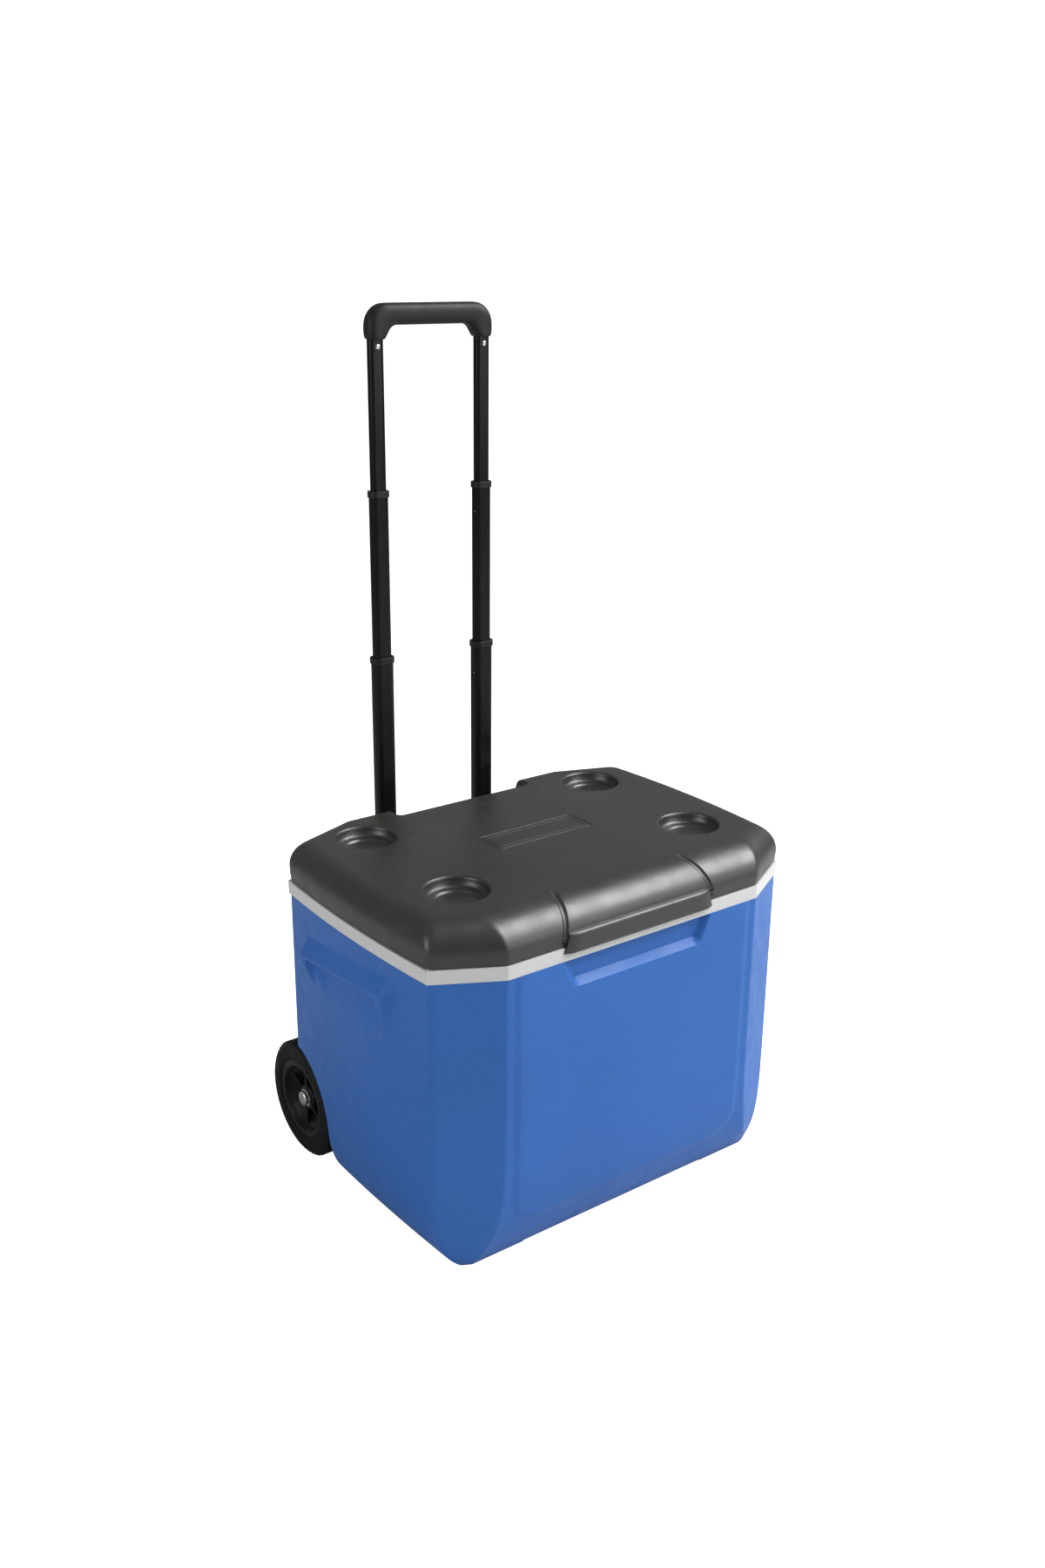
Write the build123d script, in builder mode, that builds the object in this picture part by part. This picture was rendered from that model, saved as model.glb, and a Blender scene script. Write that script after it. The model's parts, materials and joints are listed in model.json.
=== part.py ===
"""Wheeled cooler box with a hinged lid and a telescopic pull handle.

Millimetres, +Z up. X is the width, -Y the front with the lid's pull lip, +Y the back with the wheels
and the handle. The origin is on the ground, in the middle of the whole object's plan.
"""

from build123d import *
from math import hypot
import os

os.makedirs("parts", exist_ok=True)

# ---------------------------------------------------------------- driving dimensions
corner_half_x = 277.0    # half width of the rim and lid at the corners
side_bow = 7.0           # the two sides bow out this much between the corners
half_width = corner_half_x + side_bow
width = 2 * half_width
depth = 396.0
centre_y = -28.0         # the box's own middle, so that the whole object is centred in Y
front_y = centre_y - depth / 2
rear_y = centre_y + depth / 2
front_cut = (81.0, 44.0)     # corner cuts of the plan: along X, along Y
rear_cut = (89.0, 33.0)

shell_top = 387.0        # top of the coloured outer shell, underside of the rim
rim_top = 404.0          # top of the liner's rim
lid_bottom = 404.3
lid_top_z = 455.0
wall = 3.5               # outer shell
liner_wall = 3.0
lid_wall = 3.0

# outer shell from the ground up: height, insets of the sides, ends and corner cuts, bow of the sides
shell_profile = [
    (0.0, (37.0, 30.0, 12.0), 1.0),
    (10.0, (27.0, 22.0, 7.0), 2.0),
    (28.0, (14.0, 13.0, 3.0), 4.0),
    (55.0, (5.0, 7.0, 2.0), 5.5),
    (92.0, (2.0, 4.5, 1.5), side_bow),
    (shell_top, (0.5, 1.0, 0.5), side_bow),
]
foot_height = 4.0        # the front corners stand this much below the middle of the base
foot_inner_x = 150.0
foot_rear_y = centre_y - 60.0

tub_half_x = 237.0       # clear inside of the tub at the rim
tub_half_y = 165.0
tub_floor = 48.0
tub_corner = 42.0
tub_taper = 1.8          # degrees: the tub narrows towards its floor
bump_x = 206.0           # the tub steps in over each wheel well, and over the axle
bump_y = centre_y + 62.0
bump_top = 190.0
shelf_y = centre_y + 138.0
shelf_top = 112.0

wheel_radius = 80.0
wheel_width = 40.0
wheel_face_x = 271.0     # outer face of each tyre
wheel_y = rear_y - 28.0
wheel_z = wheel_radius
well_radius = 86.0
well_inner_x = 226.0
tyre_inner = 54.0
axle_radius = 6.0
axle_end_x = 267.0
bush_flange_x = 229.0    # outer face of each bush's flange
washer = 1.2
hub_outer_x = 262.0
gap = 0.4                # between pieces that turn past each other

hinge_y = rear_y - 7.8   # lid pivot: the lid's lower rear edge is rounded about it
hinge_z = lid_bottom + 7.8
hinge_x = 145.0          # middle of each hinge
pin_radius = 2.5
running = 0.05           # radial clearance of a pin or shaft in its bore

tube_x = 81.0            # handle tubes
tube_y = rear_y + 46.0
tube_wall = 1.2
tube_step = 2.0          # each stage is this much smaller per side than the one around it
guide_width = 33.0       # fixed guide tubes
guide_depth = 25.0
corner_radii = [9.5, 8.0, 6.8, 5.5]   # guide, stages 1 to 3
guide_bottom = 46.0
collar_height = 8.0
collar_lip = 3.0
collar_wall = 1.6
tube_tops = [386.0, 651.0, 870.0]     # tops of the collars on the guide, stage 1 and stage 2
grip_bottom = 1056.0
overlap = 75.0           # length of each stage that stays inside the one around it
foot_length = 10.0       # plastic foot under the end of each stage
slide_gap = 0.35
button_drop = [46.0, 46.0, 40.0]      # each snap button sits this far below the outer tube's top
button_radius = 2.6
button_proud = 0.25

bracket_plate = 6.0      # the handle's brackets on the back wall
bracket_boss = 40.0
top_bracket = (348.0, 378.0)
base_bracket = (36.0, 66.0)

grip_width = 189.0
grip_top = 1100.0
grip_bar = 27.0
grip_depth = 25.0

cup_radius = 39.0
cup_depth = 16.0
cup_places = [(-185.0, 124.0), (185.0, 124.0), (-185.0, -80.0), (185.0, -80.0)]

hood_front = (-117.0, -77.0)          # moulded hand grips on the two sides: ends at the wall, at the edge
hood_rear = (96.0, 78.0)
hood_edge_x = 293.0
hood_root_x = 272.0
hood_edge_z = (340.0, 323.0)          # the edge falls from front to rear
hood_edge_height = 12.0
hood_above = 24.0        # from the edge up to where the hood leaves the wall
hood_below = 50.0
pocket_ends = (-88.0, 72.0)           # finger hollow under each grip
pocket_inner_x = 262.0
pocket_low = 280.0
pocket_high = 334.0
pocket_scoop = 20.0
lip_inner_x = 283.0      # inside of the lip that the fingers close on
lip_low = 311.0

recess_low = 346.0       # finger recess under the lid's lip
recess_half = (98.0, 115.0)           # at its floor, at the rim

lid_roll_z = 417.0       # the lid's rolled edges: start of the front roll, then (inwards, downwards)
front_roll = 48.0
side_roll = (28.0, 30.0)
rear_roll = (14.0, 20.0)
cutout_size = (216.0, 64.0)
hinge_plate = (58.0, 18.0)
hinge_plate_shift = 2.5
plate_thickness = 4.0

SIDES = [("left", -1), ("right", 1)]
pieces = []


def finish_piece(piece, name):
    """Labels one finished piece and writes it."""
    piece.part.label = name
    export_step(piece.part, f"parts/{name}.step")
    pieces.append(piece.part)


# ---------------------------------------------------------------- shapes used by several pieces
def even(inset):
    """The same inset for the sides, the ends and the corner cuts."""
    return inset, inset, inset


def plan(height, insets, bow=side_bow):
    """The plan of the box at one height: bowed sides, cut corners, each kind of side moved inwards."""
    side_inset, end_inset, cut_inset = insets
    side_x = corner_half_x - side_inset
    front, rear = front_y + end_inset, rear_y - end_inset
    starts = []
    for cut_x, cut_y in (front_cut, rear_cut):
        reach = 1 + cut_inset * hypot(cut_x, cut_y) / (cut_x * cut_y)
        end_x = corner_half_x - cut_x * (reach - end_inset / cut_y)
        starts.append((end_x, cut_y * (reach - side_inset / cut_x)))
    (front_x, front_step), (rear_x, rear_step) = starts
    side_front = front_y + front_step
    side_rear = rear_y - rear_step
    middle = (side_front + side_rear) / 2
    with BuildSketch(Plane.XY.offset(height)) as sketch:
        with BuildLine():
            Polyline((-side_x, side_front), (-front_x, front), (front_x, front), (side_x, side_front))
            ThreePointArc((side_x, side_front), (side_x + bow, middle), (side_x, side_rear))
            Polyline((side_x, side_rear), (rear_x, rear), (-rear_x, rear), (-side_x, side_rear))
            ThreePointArc((-side_x, side_rear), (-side_x - bow, middle), (-side_x, side_front))
        make_face()
    return sketch.sketch


def shell_block(inset, bottom, top):
    """The outer shell's solid, moved inwards by inset and cut level at bottom and top."""
    rows = [(bottom, *shell_profile[0][1:])]
    rows += [row for row in shell_profile if bottom < row[0] < top]
    rows += [(top, *shell_profile[-1][1:])]
    sections = [plan(z, [extra + inset for extra in insets], bow) for z, insets, bow in rows]
    with BuildPart() as block:
        loft(sections=sections, ruled=True)
    return block.part


def back_wall_block():
    """A solid whose rear face is the back wall's outer face, for parts that stand on that wall."""
    outline = [(rear_y - insets[1], z) for z, insets, bow in shell_profile]
    with BuildPart() as block:
        with BuildSketch(Plane.YZ):
            with BuildLine():
                Polyline((centre_y, 0.0), *outline, (centre_y, shell_top), close=True)
            make_face()
        extrude(amount=corner_half_x, both=True)
    return block.part


def hood_section(y, edge_z, side):
    """The outline of one hand grip's hood across the box."""
    points = [
        (side * hood_root_x, edge_z - hood_below),
        (side * (hood_root_x + 10.0), edge_z - hood_below),
        (side * hood_edge_x, edge_z - hood_edge_height),
        (side * hood_edge_x, edge_z),
        (side * half_width, edge_z + hood_above),
        (side * hood_root_x, edge_z + hood_above),
    ]
    with BuildSketch(Plane.XZ.offset(-y)) as section:
        with BuildLine():
            Polyline(*points, close=True)
        make_face()
    return section.sketch


def side_hoods():
    """Both hand grips as one pair of solids: hoods that lean out from the side walls, with slanted ends."""
    with BuildPart() as hoods:
        for side in (-1, 1):
            front = hood_section(hood_front[0], hood_edge_z[0], side)
            rear = hood_section(hood_rear[0], hood_edge_z[1], side)
            loft(sections=[front, rear], ruled=True)
        with BuildSketch():
            for side in (-1, 1):
                with BuildLine():
                    Polyline(
                        (side * hood_root_x, hood_front[0]),
                        (side * corner_half_x, hood_front[0]),
                        (side * hood_edge_x, hood_front[1]),
                        (side * hood_edge_x, hood_rear[1]),
                        (side * corner_half_x, hood_rear[0]),
                        (side * hood_root_x, hood_rear[0]),
                        close=True,
                    )
                make_face()
        extrude(amount=shell_top, mode=Mode.INTERSECT)
    return hoods.part


def hand_pockets(grow):
    """The finger hollow under each grip, open downwards and outwards, rising behind the grip's lip."""
    outer_x = hood_edge_x + 10.0 + grow
    scoop = pocket_scoop - 0.4 * grow
    with BuildPart() as pockets:
        with BuildSketch(Plane.XZ.offset(-pocket_ends[1] - grow)):
            for side in (-1, 1):
                with BuildLine():
                    Polyline(
                        (side * (pocket_inner_x - grow), pocket_low - grow + scoop),
                        (side * (pocket_inner_x - grow + scoop), pocket_low - grow),
                        (side * outer_x, pocket_low - grow),
                        (side * outer_x, lip_low + grow),
                        (side * (lip_inner_x + grow), lip_low + grow),
                        (side * (lip_inner_x + grow), pocket_high + grow),
                        (side * (pocket_inner_x - grow), pocket_high + grow),
                        close=True,
                    )
                make_face()
        extrude(amount=pocket_ends[1] - pocket_ends[0] + 2 * grow)
    return pockets.part


def wheel_wells(grow):
    """The space cut away round both wheels, open outwards, backwards and downwards."""
    outer_x = width / 2 + 20.0
    with BuildPart() as wells:
        for side in (-1, 1):
            middle_x = side * (well_inner_x - grow + outer_x) / 2
            length = outer_x - well_inner_x + grow
            with Locations(Location((middle_x, wheel_y, wheel_z), (0, 90, 0))):
                Cylinder(well_radius + grow, length)
            front = wheel_y - well_radius - grow
            back = rear_y + 20.0
            with Locations((middle_x, (front + back) / 2, wheel_z / 2 - 10.0)):
                Box(length, back - front, wheel_z + 20.0)
    return wells.part


def pull_recess(grow):
    """The shallow finger recess in the front wall, under the lid's pull lip."""
    with BuildPart() as recess:
        with BuildSketch(Plane.XZ.offset(-front_y - 10.0 - grow)):
            with BuildLine():
                Polyline(
                    (-recess_half[0] - grow, recess_low - grow),
                    (recess_half[0] + grow, recess_low - grow),
                    (recess_half[1] + grow, shell_top + 1.0),
                    (-recess_half[1] - grow, shell_top + 1.0),
                    close=True,
                )
            make_face()
        extrude(amount=30.0)
    return recess.part


def tub_block(grow):
    """The tub's inside, or with grow its outside, below the rim."""
    low = tub_floor - grow
    with BuildPart() as tub:
        with BuildSketch(Plane.XY.offset(shell_top)):
            with Locations((0, centre_y)):
                RectangleRounded(2 * (tub_half_x + grow), 2 * (tub_half_y + grow), tub_corner + grow)
        extrude(amount=low - shell_top, taper=tub_taper)
        back = centre_y + tub_half_y + 20.0
        for side in (-1, 1):
            face_x = bump_x + grow
            face_y = bump_y + grow
            bump_length = width / 2 - face_x
            with Locations((side * (face_x + bump_length / 2), (face_y + back) / 2, bump_top / 2 - grow)):
                Box(bump_length, back - face_y, bump_top, mode=Mode.SUBTRACT)
        with Locations((0, (shelf_y + grow + back) / 2, shelf_top / 2 - grow)):
            Box(width, back - shelf_y - grow, shelf_top, mode=Mode.SUBTRACT)
    return tub.part


def lid_block(inset):
    """The lid's outer form, moved inwards by inset: rolled edges, a deep roll in front, hinge round behind."""
    front = front_y + inset
    rear = rear_y - inset
    half = half_width - inset
    top = lid_top_z - inset
    hinge_round = rear - hinge_y
    side_in, side_down = side_roll
    rear_in, rear_down = rear_roll
    with BuildPart() as block:
        add(plan(lid_bottom, even(inset)))
        extrude(amount=top - lid_bottom)
        with BuildSketch(Plane.YZ):
            with BuildLine():
                Line((hinge_y, lid_bottom), (front, lid_bottom))
                Line((front, lid_bottom), (front, lid_roll_z))
                EllipticalCenterArc((front + front_roll, lid_roll_z), front_roll, top - lid_roll_z, 90, arc_size=90)
                Line((front + front_roll, top), (rear - rear_in, top))
                EllipticalCenterArc((rear - rear_in, top - rear_down), rear_in, rear_down, 0, arc_size=90)
                Line((rear, top - rear_down), (rear, hinge_z))
                CenterArc((hinge_y, hinge_z), hinge_round, 270, 90)
                if inset > 0:
                    Line((hinge_y, hinge_z - hinge_round), (hinge_y, lid_bottom))
            make_face()
        extrude(amount=width, both=True, mode=Mode.INTERSECT)
        with BuildSketch(Plane.XZ):
            with BuildLine():
                Line((half, lid_bottom), (half, top - side_down))
                EllipticalCenterArc((half - side_in, top - side_down), side_in, side_down, 0, arc_size=90)
                Line((half - side_in, top), (side_in - half, top))
                EllipticalCenterArc((side_in - half, top - side_down), side_in, side_down, 90, arc_size=90)
                Line((-half, top - side_down), (-half, lid_bottom))
                Line((-half, lid_bottom), (half, lid_bottom))
            make_face()
        extrude(amount=width, both=True, mode=Mode.INTERSECT)
    return block.part


def cup_wells(grow):
    """The four cup holders sunk into the lid."""
    with BuildPart() as cups:
        places = [(x, centre_y + y, lid_top_z - cup_depth - grow) for x, y in cup_places]
        with Locations(places):
            Cylinder(cup_radius + grow, 40.0, align=(Align.CENTER, Align.CENTER, Align.MIN))
    return cups.part


def handle_cutout(grow):
    """The gap in the lid's rear edge that leaves room for a hand at the folded grip."""
    with BuildPart() as cutout:
        with Locations((0, rear_y, lid_top_z)):
            Box(cutout_size[0] + 2 * grow, cutout_size[1] + 2 * grow, 130.0)
        fillet(cutout.edges().filter_by(Axis.Z), 8.0)
    return cutout.part


def hinge_notches(grow):
    """The two notches in the lid's lower rear edge that the hinges stand in."""
    with BuildPart() as notches:
        for side in (-1, 1):
            low = (hinge_y - 9.0 - grow + rear_y + 10.0) / 2
            with Locations((side * hinge_x, low, hinge_z + 9.0 + grow)):
                Box(
                    hinge_plate[0] + 2 * grow,
                    rear_y + 19.0 + grow - hinge_y,
                    30.0,
                    align=(Align.CENTER, Align.CENTER, Align.MAX),
                )
    return notches.part


# ---------------------------------------------------------------- screws of the brackets and hinges
with BuildPart() as bracket_screws:
    for low, high in (top_bracket, base_bracket):
        for x in (-42.0, 0.0, 42.0):
            centre = (x, rear_y + bracket_plate, (low + high) / 2)
            with Locations(Location(centre, (-90, 0, 0))):
                Cylinder(4.6, 2.6, align=(Align.CENTER, Align.CENTER, Align.MIN))
            with Locations(Location(centre, (90, 0, 0))):
                Cylinder(2.2, 22.0, align=(Align.CENTER, Align.CENTER, Align.MIN))
    heads = bracket_screws.edges().filter_by(GeomType.CIRCLE).group_by(Axis.Y)[-1]
    fillet(heads, 1.2)
finish_piece(bracket_screws, "bracket_screws")

hinge_screw_y = hinge_y - 8.6
with BuildPart() as hinge_screws:
    for side in (-1, 1):
        for shift in (-12.0, 12.0):
            x = side * hinge_x + shift
            with Locations((x, hinge_screw_y, rim_top)):
                Cone(1.7, 3.2, 2.2, align=(Align.CENTER, Align.CENTER, Align.MAX))
                Cylinder(1.7, 12.0, align=(Align.CENTER, Align.CENTER, Align.MAX))
finish_piece(hinge_screws, "hinge_screws")

# ---------------------------------------------------------------- the box
with BuildPart() as body_shell:
    add(shell_block(0.0, 0.0, shell_top))
    add(side_hoods())
    add(hand_pockets(0.0), mode=Mode.SUBTRACT)
    add(wheel_wells(0.0), mode=Mode.SUBTRACT)
    add(pull_recess(0.0), mode=Mode.SUBTRACT)
    with Locations((0, centre_y, 0)):
        Box(2 * foot_inner_x, 2 * depth, 2 * foot_height, mode=Mode.SUBTRACT)
    with Locations((0, foot_rear_y + depth, 0)):
        Box(2 * width, 2 * depth, 2 * foot_height, mode=Mode.SUBTRACT)
    cavity = shell_block(wall, wall + foot_height, shell_top)
    cavity = cavity - wheel_wells(wall) - pull_recess(wall) - hand_pockets(wall)
    add(cavity, mode=Mode.SUBTRACT)
    with Locations(Location((0, wheel_y, wheel_z), (0, 90, 0))):
        Cylinder(axle_radius + 3.0, 2 * well_inner_x + 4.0, mode=Mode.SUBTRACT)
    add(bracket_screws.part, mode=Mode.SUBTRACT)
finish_piece(body_shell, "body_shell")

with BuildPart() as tub_liner:
    add(plan(shell_top, even(0.0)))
    extrude(amount=rim_top - shell_top)
    add(tub_block(liner_wall))
    add(tub_block(0.0), mode=Mode.SUBTRACT)
    with BuildSketch(Plane.XY.offset(shell_top)):
        with Locations((0, centre_y)):
            RectangleRounded(2 * tub_half_x, 2 * tub_half_y, tub_corner)
    extrude(amount=rim_top - shell_top, mode=Mode.SUBTRACT)
    for side in (-1, 1):
        with Locations((side * hinge_x, hinge_y - hinge_plate_shift, rim_top)):
            Box(hinge_plate[0], hinge_plate[1], 2 * plate_thickness, mode=Mode.SUBTRACT)
    add(hinge_screws.part, mode=Mode.SUBTRACT)
finish_piece(tub_liner, "tub_liner")

with BuildPart() as foam_core:
    add(cavity)
    add(tub_block(liner_wall), mode=Mode.SUBTRACT)
    with Locations(Location((0, wheel_y, wheel_z), (0, 90, 0))):
        Cylinder(axle_radius + 3.0, width, mode=Mode.SUBTRACT)
    add(bracket_screws.part, mode=Mode.SUBTRACT)
finish_piece(foam_core, "foam_core")

# ---------------------------------------------------------------- lid
with BuildPart() as lid_cover:
    add(lid_block(0.0))
    hollow = lid_block(lid_wall) - cup_wells(2.5) - handle_cutout(lid_wall)
    add(hollow, mode=Mode.SUBTRACT)
    add(cup_wells(0.0), mode=Mode.SUBTRACT)
    add(handle_cutout(0.0), mode=Mode.SUBTRACT)
    add(hinge_notches(0.0), mode=Mode.SUBTRACT)
    with BuildSketch(Plane.XZ.offset(-front_y + 0.6)):
        with BuildLine():
            Polyline(
                (-116.0, 397.0),
                (116.0, 397.0),
                (108.0, 424.0),
                (-108.0, 424.0),
                close=True,
            )
        make_face()
    extrude(amount=6.0)
    with Locations((0, front_y, 410.0)):
        Box(214.0, 2.0, 10.0)
    lip_edges = lid_cover.edges().filter_by(Axis.X).group_by(Axis.Y)[0]
    fillet(lip_edges, 2.5)
finish_piece(lid_cover, "lid_cover")

plug_half_x = tub_half_x - 4.0
plug_half_y = tub_half_y - 4.0
plug_low = 392.0
pan_thickness = 3.0
with BuildPart() as lid_pan:
    add(plan(lid_bottom, even(lid_wall)))
    extrude(amount=pan_thickness)
    with BuildSketch(Plane.XY.offset(plug_low)):
        with Locations((0, centre_y)):
            RectangleRounded(2 * plug_half_x, 2 * plug_half_y, tub_corner - 4.0)
    extrude(amount=lid_bottom - plug_low)
    with BuildSketch(Plane.XY.offset(plug_low + pan_thickness)):
        with Locations((0, centre_y)):
            RectangleRounded(2 * plug_half_x - 6.0, 2 * plug_half_y - 6.0, tub_corner - 7.0)
    extrude(amount=20.0, mode=Mode.SUBTRACT)
    add(handle_cutout(lid_wall), mode=Mode.SUBTRACT)
    add(hinge_notches(0.0), mode=Mode.SUBTRACT)
    add(lid_block(lid_wall) + shell_block(0.0, 200.0, lid_bottom), mode=Mode.INTERSECT)
finish_piece(lid_pan, "lid_pan")

with BuildPart() as lid_foam:
    add(hollow)
    add(hinge_notches(0.0), mode=Mode.SUBTRACT)
    add(plan(lid_bottom, even(0.0)))
    extrude(amount=pan_thickness, mode=Mode.SUBTRACT)
finish_piece(lid_foam, "lid_foam")

# ---------------------------------------------------------------- hinges
ear_shift = 24.0
ear_width = 6.0
barrel_radius = 6.5
for name, side in SIDES:
    x = side * hinge_x
    with BuildPart() as hinge_bracket:
        with Locations((x, hinge_y - hinge_plate_shift, rim_top)):
            Box(*hinge_plate, plate_thickness, align=(Align.CENTER, Align.CENTER, Align.MAX))
        for shift in (-ear_shift, ear_shift):
            with Locations(Location((x + shift, hinge_y, hinge_z), (0, 90, 0))):
                Cylinder(barrel_radius, ear_width)
            with Locations((x + shift, hinge_y, hinge_z)):
                Box(
                    ear_width,
                    2 * barrel_radius,
                    hinge_z - rim_top + 1.0,
                    align=(Align.CENTER, Align.CENTER, Align.MAX),
                )
        with Locations(Location((x, hinge_y, hinge_z), (0, 90, 0))):
            Cylinder(pin_radius, 60.0, mode=Mode.SUBTRACT)
        add(hinge_screws.part, mode=Mode.SUBTRACT)
    finish_piece(hinge_bracket, f"hinge_bracket_{name}")

    with BuildPart() as hinge_pin:
        with Locations(Location((x, hinge_y, hinge_z), (0, 90, 0))):
            Cylinder(pin_radius, 2 * ear_shift + ear_width)
        chamfer(hinge_pin.edges().filter_by(GeomType.CIRCLE), 0.5)
    finish_piece(hinge_pin, f"hinge_pin_{name}")

    with BuildPart() as hinge_leaf:
        leaf_width = 2 * ear_shift - ear_width - 1.6
        with Locations(Location((x, hinge_y, hinge_z), (0, 90, 0))):
            Cylinder(barrel_radius, leaf_width)
        with Locations((x, hinge_y - 1.25, hinge_z)):
            Box(leaf_width, 15.5, 9.0, align=(Align.CENTER, Align.CENTER, Align.MIN))
        with Locations(Location((x, hinge_y, hinge_z), (0, 90, 0))):
            Cylinder(pin_radius + running, 60.0, mode=Mode.SUBTRACT)
    finish_piece(hinge_leaf, f"hinge_leaf_{name}")


# ---------------------------------------------------------------- handle
def tube_size(number):
    """Width, depth and corner radius of a handle tube: 0 is the fixed guide, 1 to 3 the stages."""
    shrink = 2 * tube_step * number
    return guide_width - shrink, guide_depth - shrink, corner_radii[number]


def stage_low(number):
    """Underside of a stage's foot, with the handle pulled right out."""
    return tube_tops[number - 1] - overlap


def tube_plug(number, x, grow, low, high):
    """A solid with a handle tube's outline, grown or shrunk all round."""
    size_x, size_y, corner = tube_size(number)
    with BuildPart() as plug:
        with BuildSketch(Plane.XY.offset(low)):
            with Locations((x, tube_y)):
                RectangleRounded(size_x + 2 * grow, size_y + 2 * grow, corner + grow)
        extrude(amount=high - low)
    return plug.part


def button_pin(number, side, radius, start, end):
    """A round pin through a stage's inner side wall, from start to end outside the wall's face."""
    face = tube_x - tube_size(number)[0] / 2
    height = tube_tops[number - 1] - button_drop[number - 1]
    with BuildPart() as pin:
        with Locations(Location((side * (face - (start + end) / 2), tube_y, height), (0, 90, 0))):
            Cylinder(radius, end - start)
    return pin.part


with BuildPart() as grip_rivets:
    rivet_z = grip_bottom - 8.0
    rivet_face = tube_y - tube_size(3)[1] / 2
    for side in (-1, 1):
        with Locations(Location((side * tube_x, rivet_face, rivet_z), (90, 0, 0))):
            Cylinder(3.2, 1.4, align=(Align.CENTER, Align.CENTER, Align.MIN))
        with Locations(Location((side * tube_x, rivet_face, rivet_z), (-90, 0, 0))):
            Cylinder(1.6, 5.0, align=(Align.CENTER, Align.CENTER, Align.MIN))
    fillet(grip_rivets.edges().filter_by(GeomType.CIRCLE).group_by(Axis.Y)[0], 0.9)
finish_piece(grip_rivets, "grip_rivets")

for number in range(4):
    low = guide_bottom if number == 0 else stage_low(number) + foot_length
    high = tube_tops[number] - collar_lip if number < 3 else grip_bottom + 18.0
    for name, side in SIDES:
        x = side * tube_x
        with BuildPart() as tube:
            add(tube_plug(number, x, 0.0, low, high))
            add(tube_plug(number, x, -tube_wall, low, high), mode=Mode.SUBTRACT)
            if number < 3:
                window = button_pin(number + 1, side, button_radius + 0.7, 0.5, 12.0)
                add(window, mode=Mode.SUBTRACT)
            if number > 0:
                own_hole = button_pin(number, side, button_radius + running, -3.0, 1.0)
                add(own_hole, mode=Mode.SUBTRACT)
            if number == 3:
                add(grip_rivets.part, mode=Mode.SUBTRACT)
        kind = "guide_tube" if number == 0 else f"stage_{number}_tube"
        finish_piece(tube, f"{kind}_{name}")

for number in range(3):
    top = tube_tops[number]
    with BuildPart() as collars:
        for side in (-1, 1):
            x = side * tube_x
            add(tube_plug(number, x, collar_wall, top - collar_height, top))
            add(tube_plug(number, x, 0.0, top - collar_height, top - collar_lip), mode=Mode.SUBTRACT)
            add(tube_plug(number + 1, x, slide_gap, top - 20.0, top + 5.0), mode=Mode.SUBTRACT)
        fillet(collars.edges().group_by(Axis.Z)[-1].filter_by(lambda edge: edge.length > 0), 0.6)
    finish_piece(collars, "guide_collars" if number == 0 else f"stage_{number}_collars")

for number in range(1, 4):
    low = stage_low(number)
    with BuildPart() as feet:
        for side in (-1, 1):
            x = side * tube_x
            add(tube_plug(number - 1, x, -tube_wall - slide_gap, low, low + foot_length))
            add(tube_plug(number, x, -tube_wall, low, low + 2 * foot_length))
    finish_piece(feet, f"stage_{number}_feet")

for number in range(1, 4):
    for name, side in SIDES:
        with BuildPart() as button:
            add(button_pin(number, side, button_radius, -3.2, button_proud))
            add(button_pin(number, side, button_radius + 0.8, -3.2, -2.3))
            tips = button.edges().filter_by(GeomType.CIRCLE).sort_by(lambda edge: abs(edge.center().X))
            fillet(tips[0], 0.7)
        finish_piece(button, f"stage_{number}_button_{name}")

with BuildPart() as handle_grip:
    half = grip_width / 2
    inner = tube_x - (half - tube_x)
    with BuildSketch(Plane.XZ.offset(-tube_y - grip_depth / 2)):
        with BuildLine():
            Polyline(
                (-half + 1.5, grip_bottom),
                (-half, grip_bottom + 7.0),
                (-half, grip_top),
                (half, grip_top),
                (half, grip_bottom + 7.0),
                (half - 1.5, grip_bottom),
                (inner, grip_bottom),
                (inner - 10.0, grip_top - grip_bar),
                (-inner + 10.0, grip_top - grip_bar),
                (-inner, grip_bottom),
                close=True,
            )
        make_face()
    extrude(amount=grip_depth)
    across = handle_grip.edges().filter_by(Axis.Y)
    fillet(across.group_by(Axis.Z)[-1], 26.0)
    sides = handle_grip.faces().filter_by(Axis.Y)
    fillet(sides.edges().filter_by(lambda edge: edge.center().Z > grip_bottom + 1.0), 9.0)
    for side in (-1, 1):
        x = side * tube_x
        add(tube_plug(3, x, 0.0, grip_bottom - 1.0, grip_bottom + 18.0), mode=Mode.SUBTRACT)
        add(tube_plug(3, x, -tube_wall, grip_bottom - 16.0, grip_bottom + 18.0))
    add(grip_rivets.part, mode=Mode.SUBTRACT)
finish_piece(handle_grip, "handle_grip")

for name, (low, high) in (("top_bracket", top_bracket), ("base_bracket", base_bracket)):
    with BuildPart() as bracket:
        with BuildSketch(Plane.XY.offset(low)):
            with Locations((0, rear_y - 6.0)):
                Rectangle(2 * (tube_x + bracket_boss / 2), 12.0 + 2 * bracket_plate)
            boss_rear = tube_y + guide_depth / 2 + 4.0
            for side in (-1, 1):
                with Locations((side * tube_x, (rear_y - 4.0 + boss_rear) / 2)):
                    RectangleRounded(bracket_boss, boss_rear - rear_y + 4.0, 9.0)
        extrude(amount=high - low)
        fillet(bracket.edges().group_by(Axis.Z)[-1].filter_by(lambda edge: edge.center().Y > rear_y), 2.0)
        for side in (-1, 1):
            add(tube_plug(0, side * tube_x, 0.0, guide_bottom, high + 5.0), mode=Mode.SUBTRACT)
        add(back_wall_block(), mode=Mode.SUBTRACT)
        add(bracket_screws.part, mode=Mode.SUBTRACT)
    finish_piece(bracket, name)


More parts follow.
